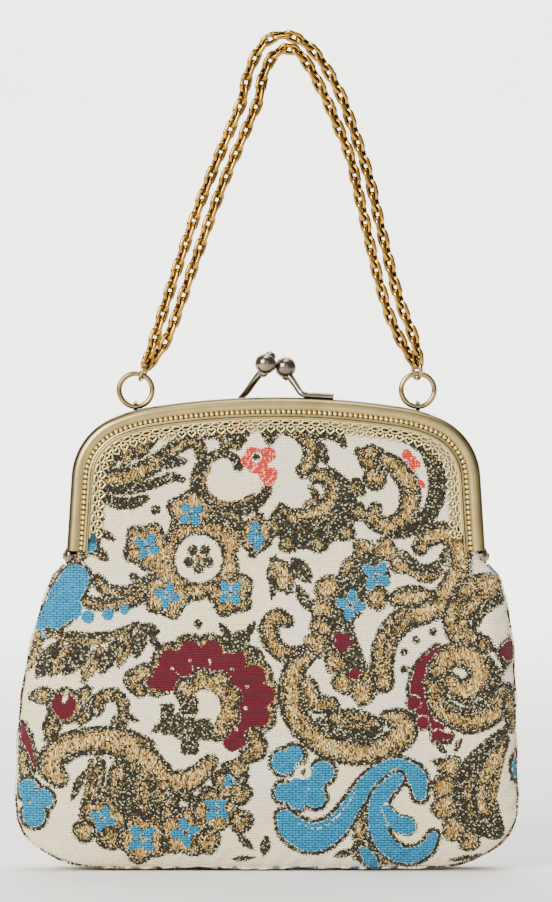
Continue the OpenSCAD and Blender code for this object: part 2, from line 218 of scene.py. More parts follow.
def outer_edge():
    """The frame's outer edge, left foot to right foot: points (x, z) and inward normals."""
    bends = [(CROWN_R, 0, CROWN_DEG), (SHOULDER_R, CROWN_DEG, CROWN_DEG + SHOULDER_DEG),
             (CORNER_R, CROWN_DEG + SHOULDER_DEG, 90 - LEG_LEAN)]
    centre = np.array([0.0, CROWN_Z - CROWN_R])
    last_radius = CROWN_R
    points, normals = [], []
    for radius, start, end in bends:
        turned = math.radians(start)
        centre = centre + (last_radius - radius) * np.array([math.sin(turned), math.cos(turned)])
        last_radius = radius
        for angle in np.radians(np.linspace(start, end, 160, endpoint=False)):
            out = np.array([math.sin(angle), math.cos(angle)])
            points.append(centre + radius * out)
            normals.append(-out)
    lean = math.radians(LEG_LEAN)
    out = np.array([math.cos(lean), math.sin(lean)])
    for down in np.linspace(0, 1, 60):
        top = centre + CORNER_R * out
        drop = (top[1] - LEG_Z + 8) * down
        points.append(top + drop * np.array([math.tan(lean), -1]))
        normals.append(-out)
    points, normals = np.array(points), np.array(normals)
    flip = np.array([-1, 1])
    return np.concatenate([points[:0:-1] * flip, points]), np.concatenate([normals[:0:-1] * flip, normals])


EDGE_POINTS, EDGE_NORMALS = outer_edge()


def rail(inset, pitch, bottom=None):
    """Even steps round the frame at an inset: points (x, z), inward normals and run length."""
    line = EDGE_POINTS + inset * EDGE_NORMALS
    keep = line[:, 1] >= (LEG_Z if bottom is None else bottom) - 1e-6
    line, inward = line[keep], EDGE_NORMALS[keep]
    run = np.concatenate([[0], np.cumsum(np.linalg.norm(np.diff(line, axis=0), axis=1))])
    count = max(2, int(round(run[-1] / pitch)))
    at = np.linspace(0, run[-1], count + 1)
    even = [np.stack([np.interp(at, run, part[:, k]) for k in (0, 1)], 1) for part in (line, inward)]
    return even[0], unit(even[1]), at


def crown_height(x, inset):
    """Height of the frame's edge, at an inset, above a place across the bag."""
    line = EDGE_POINTS + inset * EDGE_NORMALS
    line = line[line[:, 1] > LEG_Z]
    return np.interp(x, line[:, 0], line[:, 1])


def corner_in(drop):
    """How far the side seam has turned in round the bottom corner."""
    t = np.clip((drop - DROP_END + CORNER_H) / CORNER_H, 0, 1)
    return CORNER_IN * (1 - np.sqrt(1 - t * t * 0.999))


def seam_half(drop):
    """Half the width between the side seams, at a height below the hinge line."""
    spread = 84 + (SACK_HALF_W - 84) * (1 - np.exp(-np.maximum(0, drop) / 26))
    return spread - 4.5 * np.clip(1 - drop / 8, 0, 1) - corner_in(drop)


def lean_over(drop):
    """The sack hangs a little to the left below the frame."""
    return -3.6 * smoothstep(0, 75, drop)


def seam_depth(drop):
    """Distance of the front and back seams from the parting plane."""
    top = CLOTH_FACE + 0.4 * smoothstep(-6, 0, drop)
    return top + 6.4 * np.sin(np.radians(90 * np.clip(drop / 80, 0, 1)))


def swell(drop):
    """How far the middle of the cloth stands out beyond its seams."""
    low = np.clip(drop / DROP_END, 0, 1)
    return 0.6 * smoothstep(-30, 0, drop) + 7.6 * np.sin(np.pi * low ** 0.85) ** 0.8


# ---- the woven pattern ----

THREADS = ("blue", "burgundy", "coral", "gold", "olive")
REACH = 3.0
OUTLINE = 1.8
OUTLINED = ("blue", "burgundy", "gold")


class Pattern:
    """Depth in mm inside each coloured thread's area, at places u across and v down."""

    def __init__(self, u, v):
        self.u = np.asarray(u, float)
        self.v = np.asarray(v, float)
        self.depth = {name: np.full(self.u.shape, -REACH) for name in THREADS}

    def near(self, low, high):
        """Places close enough to a box for a shape in it to matter."""
        margin = REACH + OUTLINE
        return np.nonzero((self.u > low[0] - margin) & (self.u < high[0] + margin)
                          & (self.v > low[1] - margin) & (self.v < high[1] + margin))[0]

    def lay(self, thread, at, inside):
        """Puts one thread on top of whatever lies there."""
        for name, depth in self.depth.items():
            if name == thread:
                depth[at] = np.maximum(depth[at], inside)
            else:
                depth[at] = np.minimum(depth[at], -inside)

    def paint(self, thread, at, inside, edge):
        """Lays a thread over a dark outline, which some threads have unless an edge says otherwise."""
        if edge is None:
            edge = OUTLINE if thread in OUTLINED else 0
        if edge:
            self.lay("olive", at, inside + edge)
        self.lay(thread, at, inside)

    def scroll(self, thread, *knots, edge=None):
        """A band along a curve; each knot is (u, v, width)."""
        curve = smooth_route(knots, 7)
        wide = curve[:, 2].max() / 2
        at = self.near(curve[:, :2].min(0) - wide, curve[:, :2].max(0) + wide)
        u, v = self.u[at], self.v[at]
        inside = np.full(u.shape, -REACH * 2)
        for (u0, v0, w0), (u1, v1, w1) in zip(curve, curve[1:]):
            du, dv = u1 - u0, v1 - v0
            t = np.clip(((u - u0) * du + (v - v0) * dv) / max(du * du + dv * dv, 1e-9), 0, 1)
            gap = np.hypot(u - u0 - t * du, v - v0 - t * dv)
            inside = np.maximum(inside, (w0 + t * (w1 - w0)) / 2 - gap)
        self.paint(thread, at, inside, edge)

    def leaf(self, thread, u0, v0, length, width, turn, edge=None):
        """An oval leaf with pointed ends, its length turned anticlockwise from +u."""
        half = length / 2 + width
        at = self.near((u0 - half, v0 - half), (u0 + half, v0 + half))
        a = math.radians(turn)
        along = (self.u[at] - u0) * math.cos(a) - (self.v[at] - v0) * math.sin(a)
        across = (self.u[at] - u0) * math.sin(a) + (self.v[at] - v0) * math.cos(a)
        profile = np.clip(1 - (2 * along / length) ** 2, 0, 1) ** 0.8
        inside = width / 2 * profile - np.abs(across)
        inside = np.minimum(inside, length / 2 - np.abs(along))
        self.paint(thread, at, inside, edge)

    def bloom(self, thread, u0, v0, radius, lobes=0, turn=0, depth=0.22, edge=None):
        """A round spot, or a flower when it has lobes."""
        at = self.near((u0 - radius, v0 - radius), (u0 + radius, v0 + radius))
        du, dv = self.u[at] - u0, self.v[at] - v0
        wave = np.cos(lobes * (np.arctan2(dv, du) - math.radians(turn))) if lobes else 0
        self.paint(thread, at, radius * (1 + depth * wave) / (1 + depth) - np.hypot(du, dv), edge)

    def ground(self, u0, v0, radius, edge=0):
        """A patch of bare cream ground."""
        at = self.near((u0 - radius, v0 - radius), (u0 + radius, v0 + radius))
        inside = radius - np.hypot(self.u[at] - u0, self.v[at] - v0)
        if edge:
            self.lay("olive", at, inside + edge)
        self.lay("ground", at, inside)


def petals(p, u, v, radius, turn):
    """Four blue petals with a gold eye and dark veins."""
    p.bloom("blue", u, v, radius * 1.08, 4, turn, 0.36, edge=0)
    p.bloom("blue", u, v, radius * 0.62, edge=0)
    p.bloom("olive", u, v, radius * 0.42, 4, turn + 45, 0.75)
    p.bloom("gold", u, v, 0.6, edge=0)


def cup_flower(p, u, v, radius, turn=0):
    """A blue flower that sits in a gold cup with a dark scalloped outline."""
    p.bloom("gold", u, v, radius + 3.6, 5, turn, 0.13)
    petals(p, u, v, radius, turn + 20)


def draw_top(p):
    """Leaf fan, C-scroll and paisleys under the frame's crown."""
    for u, v, length, width, turn in ((-66, 22, 15, 5, 70), (-59, 19, 15, 5.5, 80), (-52, 17, 14, 5, 62),
                                      (-47, 12, 11, 4.5, 40), (-69, 28, 11, 4, 95), (-38, 11, 10, 4, 20)):
        p.leaf("gold", u, v, length, width, turn)
        p.leaf("olive", u + 0.6, v, length * 0.5, 1.2, turn)
    p.scroll("gold", (-70, 33, 4), (-57, 31, 4.5), (-46, 25, 4), (-38, 18, 3), (-29, 14, 2.5),
             (-22, 15, 2), (-20, 19, 1.6))
    p.scroll("gold", (-44, 23, 2), (-36, 18.5, 2), (-31, 18.5, 2), (-30, 23, 1.5))
    p.leaf("olive", -41, 26.5, 13, 4, 12)
    p.scroll("olive", (-71, 36, 3), (-60, 37, 4.5), (-50, 35, 4), (-42, 32, 4), (-37, 33, 2.5))
    p.scroll("olive", (-71, 38, 3), (-64, 42, 5), (-56, 42, 5), (-52, 40, 3))
    p.leaf("olive", -71, 43, 10, 5, 80)
    p.scroll("olive", (-15, 27.5, 4.5), (-17, 24, 3.5), (-23, 22.5, 4), (-30, 28, 5.5), (-31, 37, 6.5),
             (-27, 44, 6.5), (-18, 46, 6.5), (-9, 43, 5.5), (-4, 38, 4.5), (-3, 34, 3))
    p.bloom("olive", -23, 48.5, 4.2)
    p.bloom("olive", -16, 50.5, 4)
    p.scroll("gold", (-26.5, 28, 0.8), (-29, 35, 1.4), (-24, 41.5, 1.6), (-16, 42.5, 1.2), (-9, 39, 0.7),
             edge=0)
    p.scroll("gold", (-22, 48, 1), (-19, 47, 1.6), (-15, 48.5, 1), edge=0)
    p.bloom("coral", -8.5, 25, 5.2, 5, 30, 0.08)
    p.bloom("coral", -3.2, 23, 3.6)
    p.bloom("coral", -3, 31.4, 3.8, 3, 80, 0.1)
    p.bloom("coral", -5.6, 28.6, 3)
    p.ground(-7.8, 24, 2.4)
    p.bloom("olive", -8, 23.8, 1.8)
    p.bloom("olive", -16, 14, 6, 5, 0, 0.16)
    p.bloom("coral", -15.8, 12.5, 2)
    p.scroll("gold", (-20, 17, 0.8), (-16, 20, 1.8), (-12, 17, 0.8), edge=0)
    p.bloom("olive", -2.5, 15, 4.4, 3, 90, 0.16)
    p.scroll("olive", (-1, 11, 2.5), (7, 12, 4), (15, 13, 6), (24, 15, 5.5), (27, 19, 3))
    p.scroll("gold", (0, 11.5, 1.6), (8, 13.5, 3), (13, 18, 3.6), (14, 24, 3.6), (11, 29.5, 3))
    p.leaf("olive", 18.5, 22, 12, 4.5, -70)
    p.scroll("olive", (21, 30, 5), (27, 37, 8), (28, 47, 9), (20, 54, 10), (8, 56, 9), (1, 50, 7),
             (2, 44, 4))
    for u, v in ((32, 36.5), (33, 46), (28, 54), (17, 58.5), (5, 58.5), (-1, 52)):
        p.bloom("olive", u, v, 4.4, 3, 30, 0.1)
        p.bloom("gold", u, v, 2, 3, 30, 0.1, edge=0)
    p.scroll("gold", (15.5, 31.5, 2.5), (20, 32, 3.5), (23, 38, 4.2), (18, 45.5, 4.2), (9, 48, 3.6),
             (2.5, 46, 2.4))
    p.scroll("gold", (14, 36, 1.6), (16, 40, 2), (12, 43, 1.6), edge=0.6)
    p.scroll("olive", (39, 14, 3), (50, 15, 4), (60, 22, 6), (64.5, 33, 7.5), (62, 45, 7), (54, 53, 5),
             (46, 55.5, 3))
    p.ground(53.5, 26, 5.2)
    p.ground(57, 34.5, 3.4)
    for u, v, r in ((52.2, 22.8, 2), (54.5, 26.5, 3), (52.6, 29.5, 1.8), (57.6, 34.8, 1.9)):
        p.bloom("coral", u, v, r, 3, 20, 0.12)
    p.leaf("gold", 38.5, 24.5, 12, 8, -25)
    p.leaf("olive", 39.5, 25, 6, 2.2, -25)
    p.bloom("gold", 39.5, 32.5, 4)
    p.scroll("gold", (43, 24.5, 3), (49, 29, 5), (53.5, 37, 5.5), (52, 47, 5), (45, 51.5, 4.5),
             (38.6, 48.5, 4), (39.5, 44.5, 2.4))
    p.scroll("olive", (46, 29, 0.8), (50, 36, 1), (49.5, 44, 0.8))


def draw_medallion(p):
    """Gold star with five blue flowers round a cream rosette, and the curls to its left."""
    p.scroll("gold", (-71, 72.5, 1.6), (-67, 77, 2.4), (-59, 78, 3), (-50, 74, 4), (-44, 71, 5))
    p.scroll("gold", (-80, 79.5, 1.4), (-70, 82.5, 2), (-60, 82, 2.4), (-51, 77, 4))
    for u, v, turn in ((-51.5, 59.5, 10), (-34, 46.5, 60), (-18.2, 77.6, 40), (-43, 78.5, 0)):
        p.bloom("gold", u, v, 8.6, 5, turn, 0.12)
    p.leaf("gold", -8, 55, 15, 11, 80)
    p.bloom("gold", -30.8, 64, 15.5, 5, 20, 0.1)
    for u, v in ((-44, 66), (-34, 55), (-20, 58), (-24, 72), (-39, 73)):
        p.bloom("gold", u, v, 7, edge=0)
    for u, v, r, turn in ((-51.5, 59.5, 4.9, 25), (-34, 46.8, 4.9, 55), (-18.2, 77.6, 5, 50),
                          (-43, 78.8, 4.8, 15)):
        petals(p, u, v, r, turn)
    for u, v, r in ((-8.3, 51.6, 1.9), (-9.2, 55.6, 2.6), (-6.6, 56.4, 2.2), (-7.6, 59.4, 1.8)):
        p.bloom("blue", u, v, r, edge=0)
    p.leaf("olive", -7.9, 55.6, 3, 1.2, 70)
    p.bloom("olive", -30.8, 64.4, 13)
    p.ground(-30.8, 64.4, 9.3, edge=0.9)
    for turn in range(5):
        a = math.radians(90 + 72 * turn)
        p.bloom("olive", -30.8 + 4 * math.cos(a), 64.4 + 4 * math.sin(a), 2.7)
    p.bloom("gold", -30.8, 64.4, 1.4, edge=0)
    p.bloom("olive", -56.5, 71.5, 2.3)
    p.bloom("olive", -48, 45, 2.4)
    p.leaf("olive", -67.5, 55, 9, 3.4, -30)
    p.leaf("olive", -70, 62.5, 9, 4.6, -40)
    p.leaf("olive", -71, 49.5, 7, 2.6, 25)
    p.leaf("gold", -79.5, 63.5, 7, 4, 30)
    p.bloom("blue", -75.4, 57.3, 4.6, 3, 60, 0.12)
    p.scroll("blue", (-80, 72.5, 11), (-84.5, 80, 12), (-86, 84, 12), (-93, 92, 7))
    p.bloom("blue", -81.5, 84, 5.5, edge=0)
    for u, v, r in ((-74.6, 87.2, 3.1), (-66.8, 86.4, 2.6), (-60.2, 84.4, 2.2)):
        p.bloom("blue", u, v, r, edge=0)


def draw_feather(p):
    """Dark feather under the blue dots, with the small burgundy bud below it."""
    leaves = ((-97, 101, 17, 6, 70), (-90, 104, 17, 6, 55), (-84, 104, 16, 5.5, 50),
              (-79, 104, 15, 5, 50), (-73, 106, 15, 5, 60), (-66, 103, 14, 4.6, 62),
              (-60, 100, 14, 4.6, 70), (-54, 97, 12, 4.4, 75))
    for i, (u, v, length, width, turn) in enumerate(leaves):
        p.leaf("olive" if i % 2 else "gold", u, v, length, width, turn, edge=0.9)
        p.leaf("olive", u, v, length * 0.7, 1, turn)
    p.leaf("olive", -50, 92, 9, 5, -20)
    p.leaf("olive", -48, 97, 9, 3.5, -60)
    p.scroll("olive", (-91, 93, 3.5), (-79, 95.5, 5), (-66, 95, 4.5), (-55, 90, 2.6))
    p.scroll("gold", (-90, 94.6, 1.2), (-78, 97, 2), (-66, 96, 1.6), (-56, 91, 0.9), edge=0)
    for u, v, length, width, turn in ((-92, 118.5, 9, 4, 5), (-76.5, 119, 7, 4, 60),
                                      (-88.5, 130, 11, 4.5, 70), (-76, 126, 6, 3.4, 60)):
        p.leaf("gold", u, v, length, width, turn)
    p.bloom("gold", -83.5, 122.5, 7)
    p.bloom("burgundy", -84, 122.6, 4.9, 3, 90, 0.08, edge=0)
    p.leaf("ground", -83.5, 119, 6.5, 2.6, 75)
    p.scroll("gold", (-71, 124, 2.2), (-69.5, 119.5, 2.4), (-64, 118, 2.2), (-60.5, 122, 1.8),
             (-61, 130, 1.2))
    for u, v, turn in ((-64, 128, 60), (-57, 127, -30), (-56, 133, -20), (-50, 136, -35), (-47, 131, 40)):
        p.leaf("olive", u, v, 7, 2.6, turn)
    p.scroll("burgundy", (-101, 131, 2), (-99, 137, 3.4), (-97.5, 144, 2.6), (-97.5, 149, 1.4))
    p.leaf("gold", -100, 146, 12, 3, 100)
    p.leaf("olive", -98, 152, 7, 3, 80)


def draw_rose(p):
    """Burgundy flower with a scalloped rim, its gold heart and olive clover."""
    rim = ((-47, 111.5), (-42, 104.5), (-34, 101), (-25.5, 101), (-16.5, 104), (-8.5, 110.5), (-5, 118),
           (-7, 126), (-12, 133.5))
    for u, v in rim:
        p.bloom("gold", u, v, 7)
    for u, v in rim:
        p.bloom("gold", u, v, 6.6, edge=0)
    for u, v in rim:
        p.bloom("burgundy", u, v, 5, edge=0)
    p.scroll("burgundy", (-43, 112, 9), (-35, 107, 10), (-25, 106.5, 11), (-16, 111, 11), (-11, 119, 10),
             (-13, 128, 9), (-17, 136, 8), edge=0)
    p.scroll("gold", (-52, 109, 4), (-56.5, 112, 4.5), (-54, 116, 3))
    p.scroll("gold", (-9, 134, 3.6), (-7, 139, 4.6), (-11, 142, 3.6))
    for u, v in ((-41, 107.5), (-34, 104.5), (-26, 104.5), (-17.5, 108), (-11.5, 114.5), (-12, 123),
                 (-15.5, 131.5)):
        p.scroll("olive", (u + 0.1 * (-27 - u), v + 0.1 * (122 - v), 0.5),
                 (u + 0.4 * (-27 - u), v + 0.4 * (122 - v), 1.1))
        p.ground(u, v, 0.9)
        p.bloom("olive", u, v, 0.6)
    for u, v in ((-35, 116), (-29.5, 112.5), (-22.5, 113.5), (-18.5, 119), (-19, 125.5), (-23, 131)):
        p.bloom("gold", u, v, 4.6)
    p.ground(-27, 122, 8.2)
    p.scroll("gold", (-36, 117, 4), (-29, 113.5, 4), (-22, 116, 4), (-19.5, 123, 4), (-22, 130, 4), edge=0)
    for u, v, r in ((-34.5, 122, 4.6), (-41.5, 129.5, 5.4), (-35.5, 131, 5.8), (-29.5, 131.5, 5.4),
                    (-34, 138, 4.4), (-43, 124, 3.4)):
        p.bloom("olive", u, v, r, 4, 45, 0.12)
    p.leaf("olive", -15, 97, 13, 8, 40)
    p.leaf("olive", -10.5, 93, 10, 3.5, 60)
    p.leaf("olive", -20, 93, 9, 3.2, -55)
    p.leaf("olive", -8, 101, 9, 4, -30)
    p.bloom("olive", -30.8, 90, 2.1)


def draw_middle(p):
    """Leaf pair, gold curl, the blue cluster and the long gold scroll on the right."""
    p.leaf("olive", 10, 69, 13, 7, -50)
    p.leaf("olive", 11, 80, 13, 5, -60)
    p.leaf("gold", 2, 71, 13, 8, -65)
    p.leaf("olive", -1, 76, 9, 3, 80)
    p.scroll("gold", (4.5, 89, 2.2), (0.5, 87.5, 4), (-2.8, 92, 5), (-1, 98, 4.4), (4, 102, 4),
             (10, 101, 2.2))
    p.scroll("olive", (31, 68, 10), (27, 80, 12), (25, 92, 12), (30, 104, 10), (33, 112, 8))
    lobes = ((35.5, 61.5, 4.4), (43.5, 61, 4.4), (50, 66, 4), (30.5, 69.5, 4.6), (20.5, 76, 4.6),
             (18.5, 84, 4.2), (17.5, 92, 3.8), (16, 98, 4.4), (24, 104.5, 4.6), (27, 113, 4.2),
             (34.5, 116.5, 4.8), (38, 110, 4), (40, 80, 4))
    for u, v, r in lobes:
        p.bloom("gold", u, v, r, 3, u * 20, 0.1, edge=1.3)
    p.scroll("olive", (37, 66, 9), (29, 80, 11), (26, 93, 9), (31, 106, 7))
    p.bloom("olive", 40, 71, 7)
    p.bloom("olive", 29.6, 82.6, 6.8)
    petals(p, 40, 71, 5.8, 35)
    petals(p, 29.6, 82.6, 5.6, 10)
    p.bloom("burgundy", 26.5, 97, 4.2, 5, 10, 0.2)
    p.bloom("burgundy", 31, 109.5, 2.4, edge=0)
    p.scroll("gold", (57.5, 60, 3.4), (61, 55.5, 5), (68, 54.5, 6), (73.5, 61, 6), (72, 72, 6.5),
             (63, 83, 7), (51, 88, 7), (44.5, 95, 6.5), (42, 104, 6.5), (42.5, 113, 5.5))
    p.scroll("olive", (52, 64, 4), (58, 68.5, 4.4), (65, 66.5, 4), (68, 60, 2.4))
    p.scroll("gold", (54, 70, 2.4), (60, 72.5, 2.6), (66, 69.5, 2), edge=0)
    p.leaf("gold", 53, 79.5, 17, 6, 8)
    p.scroll("olive", (56, 83.5, 0.9), (49, 88.5, 1), (44, 97, 1), (42.5, 106, 0.8))
    for u, v in ((62, 93.2), (55.5, 96.2), (50.8, 101), (50.8, 107.8)):
        p.bloom("olive", u, v, 2)
    p.scroll("gold", (88, 75, 8), (78, 79, 11), (71.5, 88, 8), (74.5, 95.5, 7), (82, 98.5, 5))
    p.scroll("olive", (89, 80, 5), (82, 85, 4.5), (79, 91, 3))
    p.leaf("burgundy", 92.5, 101, 9, 6, 75)
    p.scroll("burgundy", (64, 100.5, 2.5), (58.5, 107, 5), (56, 116, 6), (58.5, 124, 5.6),
             (62.5, 129, 4.6), (67, 134, 4))
    for u, v in ((54.5, 121), (58, 129), (64, 134.5)):
        p.bloom("burgundy", u, v, 3, edge=0.9)
    p.ground(63.5, 127, 1.6)
    p.ground(67.5, 132, 1.4)
    p.scroll("gold", (62, 113, 5), (65.5, 123, 6), (76, 128.5, 7), (86, 125, 6.5), (91, 117, 4.5))
    p.scroll("gold", (64, 108, 6), (70, 102.5, 7), (78.5, 104, 7), (81, 112, 7), (74, 116.5, 6),
             (68.5, 112.5, 4))
    p.scroll("olive", (66, 111, 1), (71, 107, 1.1), (76, 109, 1.1), (75, 113, 0.9))
    p.scroll("olive", (64.5, 117, 0.8), (69, 123.5, 1.1), (77, 126, 1.1), (85, 122.5, 0.8))
    p.scroll("olive", (82, 76, 1), (75, 81.5, 1.2), (72, 88, 1))
    p.scroll("olive", (84, 104, 3), (87.5, 111, 4.5), (83, 118, 4))
    p.scroll("olive", (70, 119.5, 1.4), (77, 122, 2), (84, 119.5, 1.4))
    p.scroll("olive", (86.5, 100, 2), (90.5, 106, 2.4), (90, 110, 1.4))
    p.leaf("gold", 93.5, 125, 14, 4, 100)


def draw_low(p):
    """Crescent paisley, the blue flower and scrolls, and the two large paisleys at the corners."""
    p.scroll("gold", (13, 102, 3), (6.5, 110, 6), (6.5, 123, 7), (14, 134, 7), (26, 140, 7), (40, 140, 7),
             (50, 134, 7.5), (50, 128, 6), (44, 127, 3.4))
    p.scroll("olive", (9, 112, 0.9), (10.5, 124, 1.1), (18, 132.5, 1.1), (30, 136.5, 1.1), (42, 135.5, 0.9))
    p.scroll("gold", (12.5, 114, 4), (15.5, 121, 5), (22, 121.5, 3))
    p.scroll("olive", (17, 128, 3), (25, 132, 5.4), (34, 133.5, 4.6), (42, 132, 2))
    p.leaf("gold", 31, 128, 20, 6, -8)
    p.leaf("olive", 31, 128.5, 13, 1.6, -8)
    p.scroll("gold", (12, 141, 1), (10.5, 147, 1.2), edge=0.5)
    lobes = ((3.2, 144.5, 5.6), (7, 141.5, 4), (18.5, 148.5, 5.2), (15.5, 152.5, 4.4), (3.5, 156.5, 4.6),
             (8.5, 159.5, 4.4), (15.5, 158.5, 4.8))
    for u, v, r in lobes:
        p.bloom("blue", u, v, r)
    for u, v, r in lobes + ((8.5, 154.5, 4.6),):
        p.bloom("blue", u, v, r, edge=0)
    p.ground(10.8, 148.4, 3.3)
    p.bloom("olive", 10.8, 148.6, 1.6, 5, 0, 0.3)
    p.scroll("blue", (3.5, 166.5, 6), (7, 171.5, 10), (15, 174.5, 11), (24, 170, 8.5), (31, 160, 6.4),
             (38, 151, 6), (47, 147, 7.5), (55.5, 150.5, 7), (57, 157.5, 4.5))
    p.scroll("gold", (43, 153, 1.4), (37, 161, 2.4), (33, 171, 3), (32.5, 182, 3), edge=0.9)
    p.scroll("gold", (35.5, 166, 1.6), (37.5, 176, 2.6), (43, 184, 3), edge=0.9)
    p.scroll("blue", (48, 151, 4.5), (41.5, 158, 6.5), (40, 168, 6.5), (43.5, 177.5, 6.5), (51.5, 182, 6),
             (59, 179.5, 5), (62.5, 174, 3))
    p.scroll("blue", (43.5, 163, 3), (47.5, 168.5, 5.5), (52, 170, 6.5), edge=0.9)
    p.scroll("olive", (9, 169, 0.5), (17, 171, 0.9), (25, 165.5, 0.9), (32, 155.5, 0.5))
    p.leaf("blue", 37, 183, 12, 4.5, -55)
    for u, v, length, width, turn in ((-12, 176.5, 9, 3.4, -45), (-4.3, 178, 9, 4, 80),
                                      (-13, 183, 10, 2.4, 5), (27, 181, 9, 3.4, 15)):
        p.leaf("olive", u, v, length, width, turn)
    p.leaf("olive", -78.5, 154, 14, 3.6, 65)
    for u, v, width in ((-68, 158, 9), (-60, 160, 10), (-50, 160, 10), (-40, 158, 9), (-33, 154, 7)):
        p.scroll("olive", (-56, 146, 5), ((u - 56) / 2, v - 4, width), (u, v + 6, width * 0.7))
    p.bloom("olive", -50, 158, 13, 7, 0, 0.08)
    p.scroll("gold", (-86, 151, 5), (-89.5, 146, 7.5), (-86, 140, 7), (-78, 136.5, 7), (-66, 136, 8),
             (-56, 140, 10), (-49, 148, 10.5), (-42, 153, 8), (-33, 151, 6), (-26, 144.5, 3.4))
    for u, v, length, width, turn in ((-63, 152, 17, 5, 80), (-53, 158, 16, 5, 100),
                                      (-45, 161, 13, 4.4, 115), (-71, 152, 15, 3.4, 75)):
        p.leaf("gold", u, v, length, width, turn)
        p.leaf("olive", u, v, length * 0.6, 1, turn)
    for u, v in ((-72, 139.5), (-66, 140), (-60, 142), (-54, 145.5), (-48.5, 150), (-42, 153.5)):
        p.leaf("olive", u, v + 1.6, 6.5, 1.3, 115)
    p.scroll("olive", (-84, 146, 1), (-77, 141.5, 1.8), (-68, 141.5, 1.6))
    p.scroll("gold", (-73, 144, 1.4), (-75, 156, 1.4), (-77.5, 168, 1.2), edge=0.5)
    for u, v, r, turn in ((-68.6, 167, 4.8, 0), (-53, 175, 5.8, 30), (-36, 172.5, 5.4, 60),
                          (-23.5, 163, 5, 20)):
        cup_flower(p, u, v, r, turn)
    cup_flower(p, -18, 152, 2.9, 45)
    for u, v, r in ((-14, 157, 3.4), (-15, 147, 3), (-14, 168, 3.8), (-27, 176, 4), (-76, 172, 3.4),
                    (-66, 175, 3.6)):
        p.bloom("gold", u, v, r, 3, u * 10, 0.1)
    for u, v, r in ((-98, 156, 5), (-92.5, 159.5, 4.8), (-96, 166, 5.4)):
        p.bloom("blue", u, v, r)
    p.bloom("blue", -96, 160.5, 5.6, edge=0)
    p.bloom("gold", -97.5, 160.5, 1.4, edge=0)
    p.leaf("olive", 65, 138.5, 8, 2.6, -50)
    p.leaf("olive", 72, 138, 7, 2.4, 60)
    p.leaf("olive", 65, 144.5, 8, 3.4, -5)
    for u, v, r in ((69, 147, 4.4), (66.5, 154.5, 4.6), (67, 163, 4.8), (70.5, 171, 4.4), (76.5, 176, 3.6)):
        p.bloom("gold", u, v, r, 3, v * 7, 0.1, edge=1.2)
    p.scroll("olive", (92, 131, 3), (84, 140, 8), (78.5, 151, 15), (80, 164, 17), (87, 172, 8))
    p.scroll("gold", (91, 136, 3), (87, 144, 6), (84, 154, 8), (83, 163, 6), edge=0)
    p.scroll("gold", (77, 152, 1.6), (76, 160, 2), (79, 169, 1.6), edge=0)
    p.scroll("olive", (88, 147, 1.2), (84, 155, 1.6), (84, 163, 1))
    p.leaf("blue", 96, 146, 11, 4, 80)
    p.leaf("olive", 76, 183, 16, 2.4, 8)


def tapestry_depths(u, v):
    """The whole pattern, as vectors (blue, burgundy, coral) and (gold, olive, raise)."""
    p = Pattern(u, v)
    for draw in (draw_top, draw_medallion, draw_feather, draw_rose, draw_middle, draw_low):
        draw(p)
    d = p.depth
    lifts = (("blue", 1), ("burgundy", 0.7), ("coral", 0.6), ("gold", 0.55), ("olive", 0.45))
    raised = np.max([smoothstep(-0.4, 0.8, d[name]) * lift for name, lift in lifts], axis=0)
    return (np.stack([d["blue"], d["burgundy"], d["coral"]], 1),
            np.stack([d["gold"], d["olive"], raised], 1), raised)


# ---- materials ----

def rgb(code):
    """Linear colour of a hex code."""
    parts = [int(code[i:i + 2], 16) / 255 for i in (1, 3, 5)]
    return tuple(c / 12.92 if c <= 0.04045 else ((c + 0.055) / 1.055) ** 2.4 for c in parts) + (1.0,)


